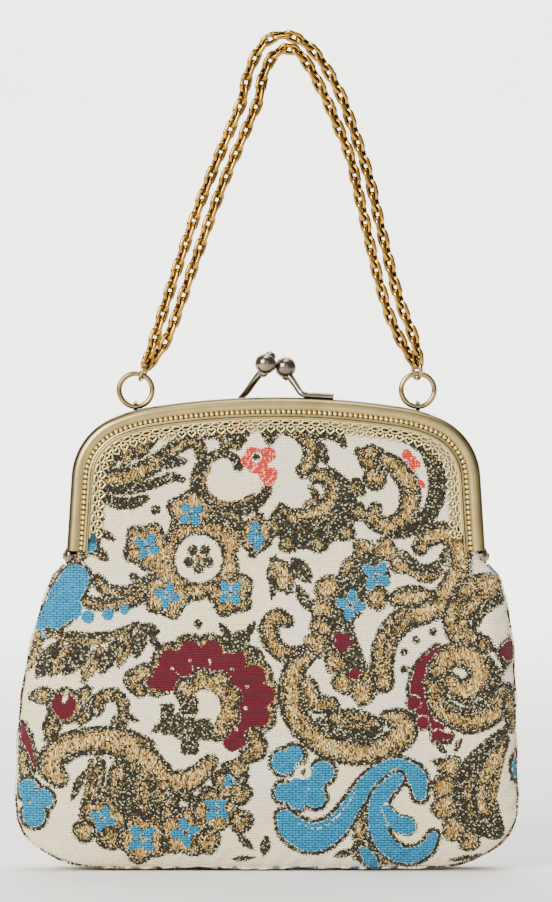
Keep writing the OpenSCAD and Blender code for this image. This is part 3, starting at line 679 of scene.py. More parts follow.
class Finish:
    """A material with short calls for the nodes it uses."""

    def __init__(self, name, **shader):
        """Starts a principled material with the given socket values."""
        self.material = bpy.data.materials.new(name)
        self.material.use_nodes = True
        self.tree = self.material.node_tree
        self.shader = self.tree.nodes["Principled BSDF"]
        for socket, value in shader.items():
            self.shader.inputs[socket.replace("_", " ")].default_value = value

    def node(self, kind, sockets=(), **settings):
        """Adds a shader node, sets it up and feeds its sockets."""
        made = self.tree.nodes.new("ShaderNode" + kind)
        for key, value in settings.items():
            setattr(made, key, value)
        for socket, value in dict(sockets).items():
            self.put(made.inputs[socket], value)
        return made

    def put(self, socket, value):
        """Feeds a socket from another socket, a number or a hex colour."""
        if isinstance(value, bpy.types.NodeSocket):
            self.tree.links.new(value, socket)
        else:
            socket.default_value = rgb(value) if isinstance(value, str) else value

    def math(self, operation, a, b=0.0):
        return self.node("Math", {0: a, 1: b}, operation=operation).outputs[0]

    def plus(self, a, b):
        return self.math("ADD", a, b)

    def minus(self, a, b):
        return self.math("SUBTRACT", a, b)

    def times(self, a, b):
        return self.math("MULTIPLY", a, b)

    def power(self, a, b):
        return self.math("POWER", a, b)

    def over(self, value, limit):
        """1 where a value is over a limit, else 0."""
        return self.math("GREATER_THAN", value, limit)

    def mix(self, factor, a, b):
        """Colour a, or b where the factor is 1."""
        return self.node("Mix", {0: factor, 6: a, 7: b}, data_type="RGBA").outputs[2]

    def ramp(self, value, stops, constant=False):
        """A colour ramp with (place, hex colour) stops."""
        made = self.node("ValToRGB", {0: value})
        if constant:
            made.color_ramp.interpolation = "CONSTANT"
        stretch = made.color_ramp.elements
        while len(stretch) < len(stops):
            stretch.new(0.5)
        for element, (place, colour) in zip(stretch, stops):
            element.position = place
            element.color = rgb(colour)
        return made.outputs[0]

    def fade(self, value, low, high):
        """0 below low, 1 above high."""
        return self.ramp(value, [(low, "#000000"), (high, "#ffffff")])

    def attribute(self, name):
        return self.node("Attribute", attribute_name=name).outputs["Vector"]

    def parts(self, vector):
        """The x, y and z of a vector."""
        return self.node("SeparateXYZ", {0: vector}).outputs

    def noise(self, vector, scale, detail=2.0, stretch=None):
        """Soft random blotches, which stretch may draw out."""
        if stretch:
            vector = self.node("VectorMath", {0: vector, 1: stretch}, operation="MULTIPLY").outputs[0]
        return self.node("TexNoise", {"Vector": vector, "Scale": scale, "Detail": detail}).outputs[0]

    def cells(self, vector, wide, tall):
        """One random number a weave cell."""
        snapped = self.node("VectorMath", {0: vector, 1: (wide, tall, 1.0)}, operation="SNAP").outputs[0]
        return self.node("TexWhiteNoise", {"Vector": snapped}, noise_dimensions="2D").outputs[0]

    def ribs(self, along, pitch):
        """A wave from 0 to 1 across threads of one pitch."""
        turn = self.times(along, 2 * math.pi / pitch)
        return self.times(self.plus(self.math("SINE", turn), 1.0), 0.5)

    def bump(self, height, strength, distance):
        bump = self.node("Bump", {"Height": height, "Strength": strength, "Distance": distance})
        self.tree.links.new(bump.outputs[0], self.shader.inputs["Normal"])

    def colour(self, value):
        self.put(self.shader.inputs["Base Color"], value)

    def roughness(self, value):
        self.put(self.shader.inputs["Roughness"], value)


def tapestry_finish():
    """Ribbed cream ground with floats of blue, burgundy and coral and flecked gold and olive."""
    f = Finish("tapestry", Roughness=0.82, Sheen_Weight=0.18, Sheen_Roughness=0.5, Specular_IOR_Level=0.25)
    weave = f.attribute("weave")
    down, shadow = f.parts(weave)[1:3]
    sway = f.noise(weave, 0.06, 1)
    row = f.plus(down, f.times(sway, 2.0))
    blue, burgundy, coral = f.parts(f.attribute("floats"))[:3]
    gold, olive = f.parts(f.attribute("flecks"))[:2]
    jag = f.times(f.minus(f.cells(weave, 0.42, 0.46), 0.5), 1.0)
    soft_jag = f.times(jag, 0.7)
    fleck = f.cells(weave, 0.36, 0.8)
    speck = f.cells(weave, 0.46, 0.42)
    rib = f.ribs(row, 0.92)
    fine = f.ribs(row, 0.46)
    tint = f.noise(weave, 0.022, 2)
    ground = f.mix(f.fade(tint, 0.35, 0.65), "#f8ebbe", "#f6ecd6")
    # Painted shade: the cream darkens in the grooves between the ribs, where the bump sinks.
    ground = f.mix(f.times(f.power(rib, 2.5), 0.55), ground, "#8f7c58")
    ground = f.mix(f.times(f.over(speck, 0.9), 0.4), ground, "#8c7a58")
    brick = f.node("TexBrick", {"Vector": weave, "Color1": "#0a88b8", "Color2": "#0775a2",
                                "Mortar": "#021c28", "Scale": 1.0, "Mortar Size": 0.17,
                                "Mortar Smooth": 0.3, "Brick Width": 2.6, "Row Height": 0.96})
    # Painted highlight: random cells of the blue floats are lightened as if catching the light.
    blue_thread = f.mix(f.times(f.power(speck, 3.0), 0.35), brick.outputs[0], "#48aecb")
    # Painted shade: the burgundy darkens in the grooves between the ribs.
    burgundy_thread = f.mix(f.power(rib, 1.5), "#560319", "#1e0208")
    burgundy_thread = f.mix(f.times(fleck, 0.25), burgundy_thread, "#7a0d2a")
    # Painted shade: the coral darkens in the grooves between the ribs.
    coral_thread = f.mix(f.power(rib, 2.0), "#cc3a28", "#86180f")
    coral_thread = f.mix(f.over(fleck, 0.86), coral_thread, "#dfa792")
    gold_thread = f.ramp(fleck, [(0.0, "#1a130a"), (0.13, "#56401c"), (0.27, "#8f6f34"),
                                 (0.48, "#b28f4c"), (0.74, "#cbac6c"), (0.91, "#ebdcac")], constant=True)
    olive_thread = f.ramp(speck, [(0.0, "#080804"), (0.36, "#1a170b"), (0.58, "#33250f"),
                                  (0.7, "#2c3424"), (0.84, "#6d6442"), (0.92, "#d0c6a2")], constant=True)
    veins = f.times(f.minus(f.noise(weave, 0.17, 2), 0.42), 2.2)
    shading = f.minus(f.plus(0.36, veins), f.times(gold, 0.19))
    gold_thread = f.mix(f.over(shading, speck), gold_thread, olive_thread)
    colour = ground
    for depth, thread, wobble, spread in ((gold, gold_thread, jag, 0.6), (olive, olive_thread, jag, 0.1),
                                          (coral, coral_thread, soft_jag, 0.3),
                                          (burgundy, burgundy_thread, soft_jag, 0.3),
                                          (blue, blue_thread, soft_jag, 0.2)):
        colour = f.mix(f.over(f.plus(depth, wobble), -spread), colour, thread)
    f.colour(f.mix(shadow, colour, "#1c1408"))
    f.roughness(f.plus(f.times(speck, 0.12), 0.76))
    relief = f.plus(f.times(f.minus(1.0, rib), 0.5), f.times(speck, 0.5))
    f.bump(f.plus(relief, f.times(fine, 0.2)), 0.6, 0.00025)
    return f.material


def satin_finish():
    """Cream satin lining with a fine twill line and faint creases, darkened along them with painted shade."""
    f = Finish("lining_satin", Roughness=0.42, Sheen_Weight=0.3, Specular_IOR_Level=0.45)
    weave = f.attribute("weave")
    across, down = f.parts(weave)[:2]
    twill = f.ribs(f.plus(across, down), 0.5)
    crease_and_shade = f.noise(weave, 0.05, 4, (1.0, 0.4, 1.0))
    # Painted shade: the colour darkens along the creases.
    f.colour(f.mix(f.times(crease_and_shade, 0.6), "#d9cdb2", "#b9a98a"))
    f.roughness(f.plus(f.times(twill, 0.12), 0.34))
    f.bump(f.plus(f.times(twill, 0.15), crease_and_shade), 0.4, 0.0006)
    return f.material


def metal_finish(name, bright, worn, roughness, grain=(1.0, 1.0, 1.0), scale=700.0, dents=0.0, rub=0.5,
                 painted_inner_shade=None):
    """Plated metal: brushed along its grain, dulled in patches, and, when given a shade colour, darkened with
    painted shade where its attribute marks shade.
    """
    f = Finish(name, Metallic=1.0, Roughness=roughness)
    place = f.node("TexCoord").outputs["Object"]
    brushed = f.noise(place, scale, 3, grain)
    patches = f.noise(place, scale * 0.06, 3)
    worn_share = f.fade(patches, 0.42, 0.7)
    colour = f.mix(f.times(worn_share, rub), bright, worn)
    colour = f.mix(f.times(brushed, 0.35), colour, worn)
    # Painted shade: mixes towards the shade colour where the attribute marks shade.
    if painted_inner_shade:
        colour = f.mix(f.times(f.parts(f.attribute("painted_inner_shade"))[0], 0.95), colour, painted_inner_shade)
    f.colour(colour)
    uneven = f.plus(f.times(brushed, 0.22), f.times(worn_share, 0.12))
    f.roughness(f.plus(uneven, roughness - 0.14))
    height = f.plus(f.times(brushed, 0.4), f.times(f.noise(place, scale * 0.3, 1), dents))
    f.bump(height, 0.25, 0.0002)
    return f.material


def frame_finish():
    """Brushed pale brass, darker in its antique patinated grooves and trough, with painted shade along its
    outer edge and inside the channel.
    """
    f = Finish("frame_brass", Metallic=1.0, Roughness=0.34)
    place = f.attribute("grain")
    dark_patina_and_shade = f.parts(place)[2]
    brushed = f.noise(place, 1.0, 3, (0.05, 7.0, 0.0))
    patches = f.noise(place, 0.09, 3)
    colour = f.mix(brushed, "#d2be86", "#8c7444")
    colour = f.mix(f.times(f.fade(patches, 0.45, 0.75), 0.4), colour, "#6f5c38")
    # Darker in the patinated grooves, and painted shade along the outer edge and inside the channel.
    f.colour(f.mix(dark_patina_and_shade, colour, "#1c150b"))
    f.roughness(f.plus(f.times(brushed, 0.25), 0.22))
    f.bump(brushed, 0.2, 0.0001)
    return f.material


tapestry = tapestry_finish()
satin = satin_finish()
frame_brass = frame_finish()
bright_brass = metal_finish("trim_brass", "#f3e3a6", "#b39a5a", 0.34, scale=900, rub=0.3)
nickel = metal_finish("clasp_bronze", "#9c8f7e", "#2a231c", 0.2, (1.0, 0.15, 0.15), 900, rub=0.5)
ring_gold = metal_finish("ring_gold", "#b49a68", "#4c3b22", 0.24, scale=800, dents=0.3, rub=0.6)
# The chain's dark colour below is painted shade on the inner side of each link.
chain_gold = metal_finish("chain_gold", "#cfa24a", "#4c2e0e", 0.18, scale=1100, dents=0.7, rub=0.6,
                          painted_inner_shade="#180c04")


# ---- cloth ----

def creases(x, drop, side):
    """Soft folds and sags of the cloth, in mm outwards."""
    folds = ((80, -2, 58, 34, 5, 1.3), (84, 6, 90, 62, 5, 0.9), (74, -8, 40, 26, 7, -0.7),
             (88, 60, 72, 112, 8, 0.9), (-82, -2, -62, 36, 6, 1.1), (-86, 10, -94, 70, 6, 1.0),
             (-92, 76, -66, 112, 8, 0.9), (-30, 104, 34, 110, 7, -0.8), (-10, 20, 16, 74, 16, -0.7),
             (46, 44, 60, 96, 12, 0.7), (-58, 46, -46, 98, 12, -0.6), (2, 84, -28, 116, 9, 0.7))
    total = 0.35 * np.sin(x / 13 + 1.1 * side) * np.sin(drop / 17 + 0.6) * smoothstep(0, 25, drop)
    total += 0.16 * np.sin(x / 5.3 + drop / 9) * smoothstep(5, 30, drop)
    for x0, d0, x1, d1, wide, high in folds:
        dx, dd = x1 - x0, d1 - d0
        t = np.clip(((x - x0) * dx + (drop - d0) * dd) / (dx * dx + dd * dd), -0.2, 1.2)
        gap = np.hypot(x - x0 - t * dx, drop - d0 - t * dd)
        total += high * np.exp(-(gap / wide) ** 2) * smoothstep(-0.2, 0.15, t) * smoothstep(1.2, 0.7, t)
    return total


def smooth_sheet(side, rows, cols, inset):
    """Points of the front or back cloth, crown to bottom seam, without its pattern's relief."""
    s = np.linspace(-1, 1, cols)[None, :]
    t = np.linspace(0, 1, rows)[:, None]
    top = crown_height(s * 79.5, 2.2 + inset * 0.4)
    tuck = 0.8 if inset == 0 else 0
    bottom = HINGE_Z - DROP_END + inset - tuck + 0.5 * np.sin(s * 9 + side) * (1 - s * s)
    z = top + (bottom - top) * t
    drop = HINGE_Z - z
    half = seam_half(drop) - inset
    x = s * half + lean_over(drop)
    rim = np.minimum((1 - np.abs(s)) * half, (DROP_END - drop))
    free = smoothstep(-4, 14, drop)
    edge = 1 - np.clip(rim / 11, 0, 1)
    rounded = 4.2 * np.sqrt(1 - edge ** 2) * free
    pucker = 0.5 * np.sin((x + drop) * 0.8) * np.exp(-rim / 4) * free
    fullness = swell(drop) * (1 - np.abs(s) ** 2.6)
    depth = seam_depth(drop) - 1.2 * free - inset + rounded + fullness + pucker
    if inset == 0:
        depth = depth + creases(x, drop, side) * smoothstep(-6, 10, drop) * smoothstep(0, 8, rim)
    return np.stack([x + 0 * z, side * depth, z + 0 * x], -1)


def sheet_normals(points, side):
    """Outward normals of a sheet on the front or back side."""
    along = np.gradient(points, axis=0)
    across = np.gradient(points, axis=1)
    normal = unit(np.cross(across, along))
    return normal * np.where(normal[..., 1:2] * side < 0, -1, 1)


def closed_sheet(outer, normals, thickness, step=3):
    """A thin closed solid: a fine outer face, and a coarser inner one, joined at the rim."""
    rows, cols = outer.shape[:2]
    inner = (outer - normals * thickness)[::step, ::step]
    few_rows, few_cols = inner.shape[:2]
    points = np.concatenate([outer.reshape(-1, 3), inner.reshape(-1, 3)])
    start = rows * cols
    faces = grid_faces(rows, cols) + grid_faces(few_rows, few_cols, start=start, flip=True)

    def rim(last_row, last_col, width, first, jump):
        border = [(0, k) for k in range(0, last_col, jump)]
        border += [(i, last_col) for i in range(0, last_row, jump)]
        border += [(last_row, k) for k in range(last_col, 0, -jump)]
        border += [(i, 0) for i in range(last_row, 0, -jump)]
        return [first + i * width + k for i, k in border]

    fine = rim(rows - 1, cols - 1, cols, 0, 1)
    rough = rim(few_rows - 1, few_cols - 1, few_cols, start, 1)
    for n, a in enumerate(rough):
        b = rough[(n + 1) % len(rough)]
        span = [fine[(n * step + k) % len(fine)] for k in range(step + 1)]
        for k in range(step - 1):
            faces.append((a, span[k], span[k + 1]))
        faces.append((a, span[step - 1], b))
        faces.append((b, span[step - 1], span[step]))
    return points, faces


CLOTH_THICK = 0.9
RELIEF = 0.28
LINING_THICK = 0.35


def woven(name, outer, normals, u, v, shadow=0):
    """A tapestry piece whose pattern stands a little proud, from a grid of outer points."""
    floats, flecks, raised = tapestry_depths(u.ravel(), v.ravel())
    outer = outer + normals * (raised.reshape(u.shape) * RELIEF)[..., None]
    points, faces = closed_sheet(outer, normals, CLOTH_THICK)
    piece = mesh_piece(name, points, faces, tapestry)
    inner = np.s_[::3, ::3]
    for attribute, values in (("floats", floats), ("flecks", flecks),
                              ("weave", np.stack([u.ravel(), -v.ravel(), (shadow + 0 * u).ravel()], 1))):
        grid = values.reshape(u.shape + (3,))
        add_vectors(piece, attribute, np.concatenate([grid.reshape(-1, 3), grid[inner].reshape(-1, 3)]))
    return piece


def lining_piece(name, outer, normals):
    """A satin piece from a grid of points on its cloth side."""
    points, faces = closed_sheet(outer, normals, LINING_THICK, 1)
    piece = mesh_piece(name, points, faces, satin)
    add_vectors(piece, "weave", points[:, [0, 2, 1]])
    return piece


FINE_ROWS, FINE_COLS = ((262, 283))


def trim_shadow(grid):
    """Shade cast on the cloth by the pierced trim just in front of it."""
    x, z = grid[..., 0], grid[..., 2]
    inset = np.full(x.shape, 99.0)
    line, inward, _ = rail(0, 1.5)
    for (px, pz), (nx, nz) in zip(line, inward):
        dx, dz = x - px, z - pz
        near = np.abs(dx * nz - dz * nx) < 1.3
        inset = np.where(near, np.minimum(inset, np.abs(dx * nx + dz * nz)), inset)
    return 0.72 * smoothstep(14.6, 12.6, inset) * smoothstep(LEG_Z - 1, LEG_Z + 1, z)


front_grid = smooth_sheet(FRONT, FINE_ROWS, FINE_COLS, 0)
front_cloth = woven("front_cloth", front_grid, sheet_normals(front_grid, FRONT), front_grid[..., 0],
                    CROWN_Z - front_grid[..., 2], trim_shadow(front_grid))
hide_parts("front_panel", "front_panel_flap")
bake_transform(front_cloth)

back_grid = smooth_sheet(BACK, FINE_ROWS, FINE_COLS, 0)
back_cloth = woven("back_cloth", back_grid, sheet_normals(back_grid, BACK), -back_grid[..., 0],
                   CROWN_Z - back_grid[..., 2], trim_shadow(back_grid))
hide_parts("back_panel")
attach(back_cloth, "bag")


def gusset_grid(along, across, inset, top):
    """Points of the gusset from its left end round the bottom to its right end."""
    drops = np.linspace(top, DROP_END - 0.001 - inset, 500)
    side = np.stack([seam_half(drops) - inset, HINGE_Z - drops], 1)
    left = side * [-1, 1] + np.stack([lean_over(drops), 0 * drops], 1)
    right = side + np.stack([lean_over(drops), 0 * drops], 1)
    line = np.concatenate([left, right[::-1]])
    run = np.concatenate([[0], np.cumsum(np.linalg.norm(np.diff(line, axis=0), axis=1))])
    at = np.linspace(0, run[-1], along)
    line = np.stack([np.interp(at, run, line[:, k]) for k in (0, 1)], 1)
    tangent = unit(np.gradient(line, axis=0))
    out = np.stack([tangent[:, 1], -tangent[:, 0]], 1)
    k = np.linspace(-1, 1, across)[None, :]
    drop = (HINGE_Z - line[:, 1])[:, None]
    seam_overlap = 0.5 * smoothstep(4, 14, drop) if inset == 0 else 0
    width = seam_depth(drop) - 1.2 * smoothstep(-4, 14, drop) - inset + seam_overlap
    bulge = (1 - k * k) * 1.5 * smoothstep(top, top + 30, drop)
    bulge = bulge - 0.9 * np.exp(-(k * 5) ** 2) * smoothstep(95, 40, drop)
    bulge = bulge + 0.25 * np.sin(at / 3.1)[:, None] * np.abs(k) ** 3
    x = line[:, :1] - out[:, :1] * bulge
    z = line[:, 1:] - out[:, 1:] * bulge
    normal = np.stack([-out[:, :1] + 0 * k, 0 * x, -out[:, 1:] + 0 * k], -1)
    return np.stack([x, width * k, z], -1), normal, at[:, None] + 0 * k


GUSSET_ALONG, GUSSET_ACROSS = ((460, 28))
gusset_outer, gusset_normals, gusset_run = gusset_grid(GUSSET_ALONG, GUSSET_ACROSS, 0, 4)
around = gusset_run - gusset_run.max() / 2
turned_back = np.where(np.abs(around) > 95, np.sign(around) * (190 - np.abs(around)), around)
gusset_cloth = woven("gusset_cloth", gusset_outer, gusset_normals, turned_back,
                     176 - np.abs(around) * 0.45 + gusset_outer[..., 1])
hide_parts("gusset")
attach(gusset_cloth, "bag")

LINING_IN = 2.4
for name, side, stands_for in (("front_lining", FRONT, ("lining_front", "lining_front_flap")),
                               ("back_lining", BACK, ("lining_back",))):
    grid = smooth_sheet(side, 80, 70, LINING_IN)
    piece = lining_piece(name, grid, sheet_normals(grid, side))
    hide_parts(*stands_for)
    if side == FRONT:
        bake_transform(piece)
    else:
        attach(piece, "bag")
inner_grid, inner_normals, _ = gusset_grid(150, 9, LINING_IN, 6)
gusset_lining = lining_piece("gusset_lining", inner_grid, inner_normals)
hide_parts("lining_gusset")
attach(gusset_lining, "bag")


# ---- frame: channels, beads and pierced trim ----

def arc(centre, radius, start, end, count):
    """Points along an arc, with its angles in degrees."""
    return [(centre[0] + radius * math.cos(math.radians(a)), centre[1] + radius * math.sin(math.radians(a)))
            for a in np.linspace(start, end, count)]


def channel_section():
    """Outline of the channel: (inset, forwards, darkening) points round it; the darkening is patination in
    the grooves and trough, and painted shade along the roll's outer edge and on the channel's inside faces.
    """
    centre = (ROLL_R, FRAME_NEAR + ROLL_R)
    trough = 4.85
    inner_edge = 8.4
    meet = math.degrees(math.asin((trough - centre[1]) / ROLL_R))
    face = [(inner_edge, 4.35, 0), (8.42, 5.0, 0), (8.3, 5.32, 0), (8.05, 5.42, 0), (7.8, 5.3, 0),
            (7.72, 5.02, 0.95), (7.6, 5.02, 0.95), (7.5, 5.2, 0.1), (6.75, 5.2, 0), (6.62, 5.1, 0.3),
            (6.5, trough, 0.9), (5.1, trough, 0.9)]
    # Painted shade: the roll darkens towards its outer edge.
    roll = [(x, y, 0.9 * float(smoothstep(1.5, 0.4, x))) for x, y in arc(centre, ROLL_R, meet, 270, 30)]
    roll[0] = roll[0][:2] + (0.85,)
    # Painted shade on the channel's inside and back faces.
    inside = [(x, y, 0.4) for x, y in arc(centre, ROLL_R - WALL, 270, meet + 6, 9)]
    back = [(inner_edge, FRAME_NEAR, 0.2), (inner_edge, FRAME_NEAR + WALL, 0.4)]
    return face + roll + back + inside


LEG_END = HINGE_Z + 1.9


def channel(name, side, node, body):
    """One half's channel, swept along the frame from hinge to hinge."""
    section = channel_section()
    line, inward, run = rail(ROLL_R, 1.2, LEG_END)
    points, grain = [], []
    around = 0
    for n, (inset, forward, patina_and_shade) in enumerate(section):
        if n:
            around += math.hypot(inset - section[n - 1][0], forward - section[n - 1][1])
        place = line + (inset - ROLL_R) * inward
        points.append(np.stack([place[:, 0], np.full(len(place), side * forward), place[:, 1]], 1))
        grain.append(np.stack([run, np.full(len(run), around), np.full(len(run), patina_and_shade)], 1))
    sides = len(section)
    points = np.stack(points, 1).reshape(-1, 3)
    faces = grid_faces(len(line), sides, closed=True)
    faces += [tuple(range(sides))[::-1], tuple((len(line) - 1) * sides + k for k in range(sides))]
    piece = mesh_piece(name, points, faces, frame_brass, 38)
    add_vectors(piece, "grain", np.stack(grain, 1).reshape(-1, 3))
    fit_out(piece, "frame_metal", body, node)


def dome(centre, radius, side, rings=4, turns=10):
    """A bead with its poles along Y."""
    points = [centre + np.array([0, side * radius, 0])]
    for i in range(1, 2 * rings):
        tilt = math.pi * i / (2 * rings)
        for k in range(turns):
            a = 2 * math.pi * k / turns
            points.append(centre + radius * np.array([math.sin(tilt) * math.cos(a), side * math.cos(tilt),
                                                      math.sin(tilt) * math.sin(a)]))
    points.append(centre - np.array([0, side * radius, 0]))
    last = len(points) - 1
    faces = grid_faces(2 * rings - 1, turns, closed=True, start=1)
    for k in range(turns):
        n = (k + 1) % turns
        faces += [(0, 1 + n, 1 + k), (last, last - turns + k, last - turns + n)]
    return np.array(points), faces


def bead_row(name, side, body):
    """The row of small beads in the channel's trough."""
    line = rail(5.78, 2.05, LEG_END + 1)[0]
    beads = [dome(np.array([x, side * 5.0, z]), 0.92, side) for x, z in line]
    points, faces = joined(beads)
    fit_out(mesh_piece(name, points, faces, bright_brass), "trim_metal", body)


def lace(name, side, node, body):
    """Pierced trim: a plain wire along its outer side, a row of open loops, and a row of hearts below it."""
    base = 11.4
    wire_in, loop_in, heart_in = 8.75, 10.1, 12.55
    forward = 4.22
    line, inward, run = rail(base, 0.5, LEG_END + 5)
    pitch = run[-1] / round(run[-1] / 4.0)

    def placed(runs, insets, wire, closed, sides=6):
        runs, insets = np.asarray(runs, float), np.asarray(insets, float)
        spot = np.stack([np.interp(runs, run, line[:, k]) for k in (0, 1)], 1)
        norm = unit(np.stack([np.interp(runs, run, inward[:, k]) for k in (0, 1)], 1))
        flat = spot + (insets - base)[:, None] * norm
        path = np.stack([flat[:, 0], np.zeros(len(flat)), flat[:, 1]], 1)
        points, faces = tube(path, wire, sides, closed)
        points[:, 1] = side * forward + points[:, 1] * 0.7
        return points, faces

    parts = [placed(run[::3], np.full(len(run[::3]), wire_in), 0.5, False)]
    turn = np.linspace(0, 2 * math.pi, 28, endpoint=False)
    heart_across = np.sin(turn) ** 3
    heart_down = -(13 * np.cos(turn) - 5 * np.cos(2 * turn) - 2 * np.cos(3 * turn) - np.cos(4 * turn)) / 16
    for n in range(int(round(run[-1] / pitch))):
        middle = (n + 0.5) * pitch
        parts.append(placed(middle + 1.55 * heart_across, heart_in + 1.4 * heart_down, 0.42, True))
        ring = turn[::2]
        loop = middle + pitch / 2
        parts.append(placed(loop + 1.7 * np.cos(ring), loop_in + 0.8 * np.sin(ring), 0.36, True))
    points, faces = joined(parts)
    fit_out(mesh_piece(name, points, faces, bright_brass), "trim_metal", body, node)


HALVES = (("front", "front_half"), ("back", "bag"))
for (half, body), side in zip(HALVES, (FRONT, BACK)):
    channel(half + "_channel", side, half + "_frame", body)
    bead_row(half + "_beads", side, body)
    lace(half + "_lace", side, half + "_lace_trim", body)


# ---- chain: each link rebuilt smooth on its own CAD link ----

def islands(node):
    """The separate solids of a CAD node, as arrays of points in millimetres."""
    mesh = nodes[node].data
    co = np.array([v.co for v in mesh.vertices]) / MM
    keys, first = np.unique(np.round(co, 3), axis=0, return_inverse=True)
    first = np.ravel(first)
    parent = list(range(len(keys)))

    def root(i):
        while parent[i] != i:
            parent[i] = parent[parent[i]]
            i = parent[i]
        return i

    for edge in mesh.edges:
        a, b = root(first[edge.vertices[0]]), root(first[edge.vertices[1]])
        if a != b:
            parent[a] = b
    roots = np.array([root(i) for i in range(len(keys))])
    return [keys[roots == r] for r in dict.fromkeys(roots)]


THICKER = 0.35
NARROWER = 0.1
TWIST_DEG = 33


def link(points, hammered):
    """A smooth oval link where a CAD link lies: its points, its faces and how much painted shade each point
    takes on the link's inner side.
    """
    centre = points.mean(0)
    spread = points - centre
    axes = np.linalg.eigh(spread.T @ spread)[1]
    along, across, flat = axes[:, 2], axes[:, 1], axes[:, 0]
    along = along * (1 if along[0] > 0 else -1)
    length = np.ptp(spread @ along)
    width = np.ptp(spread @ across)
    wire = np.ptp(spread @ flat) / 2
    bend = width / 2 - wire
    straight = length / 2 - wire - bend
    path = []
    for turn in np.linspace(-90, 90, 11):
        a = math.radians(turn)
        path.append((straight + bend * math.cos(a), bend * math.sin(a)))
    path += [(straight * t, bend) for t in (0.5, 0, -0.5)]
    for turn in np.linspace(90, 270, 11):
        a = math.radians(turn)
        path.append((-straight + bend * math.cos(a), bend * math.sin(a)))
    path += [(straight * t, -bend) for t in (-0.5, 0, 0.5)]
    path = np.array(path)
    outwards = unit(np.stack([np.where(np.abs(path[:, 0]) > straight,
                                       path[:, 0] - np.sign(path[:, 0]) * straight, 0), path[:, 1]], 1))
    path = path + outwards * [THICKER, -NARROWER]
    radius = (wire + THICKER) * (1 + 0.05 * hammered.standard_normal(len(path)).clip(-1.5, 0))
    twist = math.radians(TWIST_DEG)
    across = across * math.cos(twist) + np.cross(along, across) * math.sin(twist)
    route = centre + path[:, :1] * along + path[:, 1:] * across
    skin, faces = tube(route, radius, 10, closed=True)
    off_wire = unit(skin - np.repeat(route, 10, 0))
    away = np.repeat(outwards[:, :1] * along + outwards[:, 1:] * across, 10, 0)
    # Painted shade: the side of the wire that faces into the link's middle is marked dark.
    return skin, faces, smoothstep(-0.1, 0.75, -(off_wire * away).sum(1))


for node, body in (("chain_arch", "chain_arch"), ("chain_left_run", "chain_runs"),
                   ("chain_right_run", "chain_runs")):
    hammered = np.random.default_rng(7)
    links = [link(solid, hammered) for solid in islands(node)]
    points, faces = joined([(skin, faces) for skin, faces, painted_inner_shade in links])
    piece = mesh_piece(node + "_links", points, faces, chain_gold)
    painted_inner_shade = np.concatenate([painted_inner_shade for skin, faces, painted_inner_shade in links])
    add_vectors(piece, "painted_inner_shade", np.stack([painted_inner_shade, 0 * painted_inner_shade, 0 * painted_inner_shade], 1))
    fit_out(piece, "chain_metal", body, node)


# ---- kiss clasp: balls, swept arms and feet ----

def middle_of(node):
    """Centre of a CAD node, in millimetres."""
    low, high = node_box(node)
    return (np.array(low) + np.array(high)) / 2


def nickel_piece(name, node, body, parts, slot="clasp_metal"):
    """A piece of the clasp or the hinge that takes a CAD node's place."""
    fit_out(mesh_piece(name, *joined(parts), nickel), slot, body, node)


def swept(knots, sides=14):
    """A round bar through (x, y, z, radius) knots."""
    route = smooth_route(knots, 6)
    return tube(route[:, :3], route[:, 3], sides, closed=False)


front_ball = middle_of("front_clasp_ball") - [0.3, 0.3, 0]
back_ball = middle_of("back_clasp_ball") + [0.3, 0.3, 0]
nickel_piece("front_clasp_knob", "front_clasp_ball", "front_clasp",
             [dome(front_ball, 4.3, FRONT, 14, 32),
              dome(front_ball + [0.5, 0, -3.2], 2.2, FRONT, 8, 20)])
nickel_piece("back_clasp_knob", "back_clasp_ball", "back_clasp",
             [dome(back_ball, 4.3, FRONT, 14, 32),
              dome(back_ball + [-0.9, 0.3, -3.3], 2.2, FRONT, 8, 20),
              dome(back_ball + [1.7, 0.4, 2.7], 2.4, FRONT, 8, 20)])
nickel_piece("front_clasp_stem", "front_clasp_arm", "front_clasp",
             [swept([(*(front_ball + [1.2, -0.4, -3.0]), 1.6), (7.6, -0.9, CROWN_Z + 5.2, 1.35),
                     (9.7, -2.6, CROWN_Z + 2.1, 1.3), (11.6, -3.1, CROWN_Z + 1.0, 1.25),
                     (13.4, -3.1, CROWN_Z + 0.7, 1.0)])])
nickel_piece("back_clasp_stem", "back_clasp_arm", "back_clasp",
             [swept([(*(back_ball + [-1.4, 0.7, -3.0]), 1.6), (-8.6, 2.0, CROWN_Z + 6.6, 1.4),
                     (-11.6, 5.2, CROWN_Z + 2.4, 1.35), (-13.2, 6.5, CROWN_Z + 0.7, 1.2),
                     (-14.6, 6.9, CROWN_Z - 0.4, 0.9)])])
nickel_piece("front_clasp_strip", "front_clasp_foot", "front_half",
             [swept([(11.4, -3.1, CROWN_Z + 0.85, 1.1), (16, -3.1, CROWN_Z + 0.65, 1.25),
                     (22.4, -3.1, CROWN_Z + 0.3, 1.25), (22.9, -3.1, CROWN_Z + 0.28, 0.9)])])

foot_low, foot_high = node_box("back_clasp_foot")
foot_y, foot_z = (foot_low + foot_high)[1:] / 2
foot_r = min(foot_high[2] - foot_low[2], foot_high[1] - foot_low[1]) / 2
foot_knots = [(foot_low[0] + 0.2, foot_r * 0.8), (foot_low[0] + 1.2, foot_r),
              (foot_high[0] - 1.2, foot_r), (foot_high[0] - 0.2, foot_r * 0.8)]
nickel_piece("back_clasp_strip", "back_clasp_foot", "bag",
             [swept([(x, foot_y, foot_z, r) for x, r in foot_knots])])


# ---- cords that hold the cloth in each channel ----

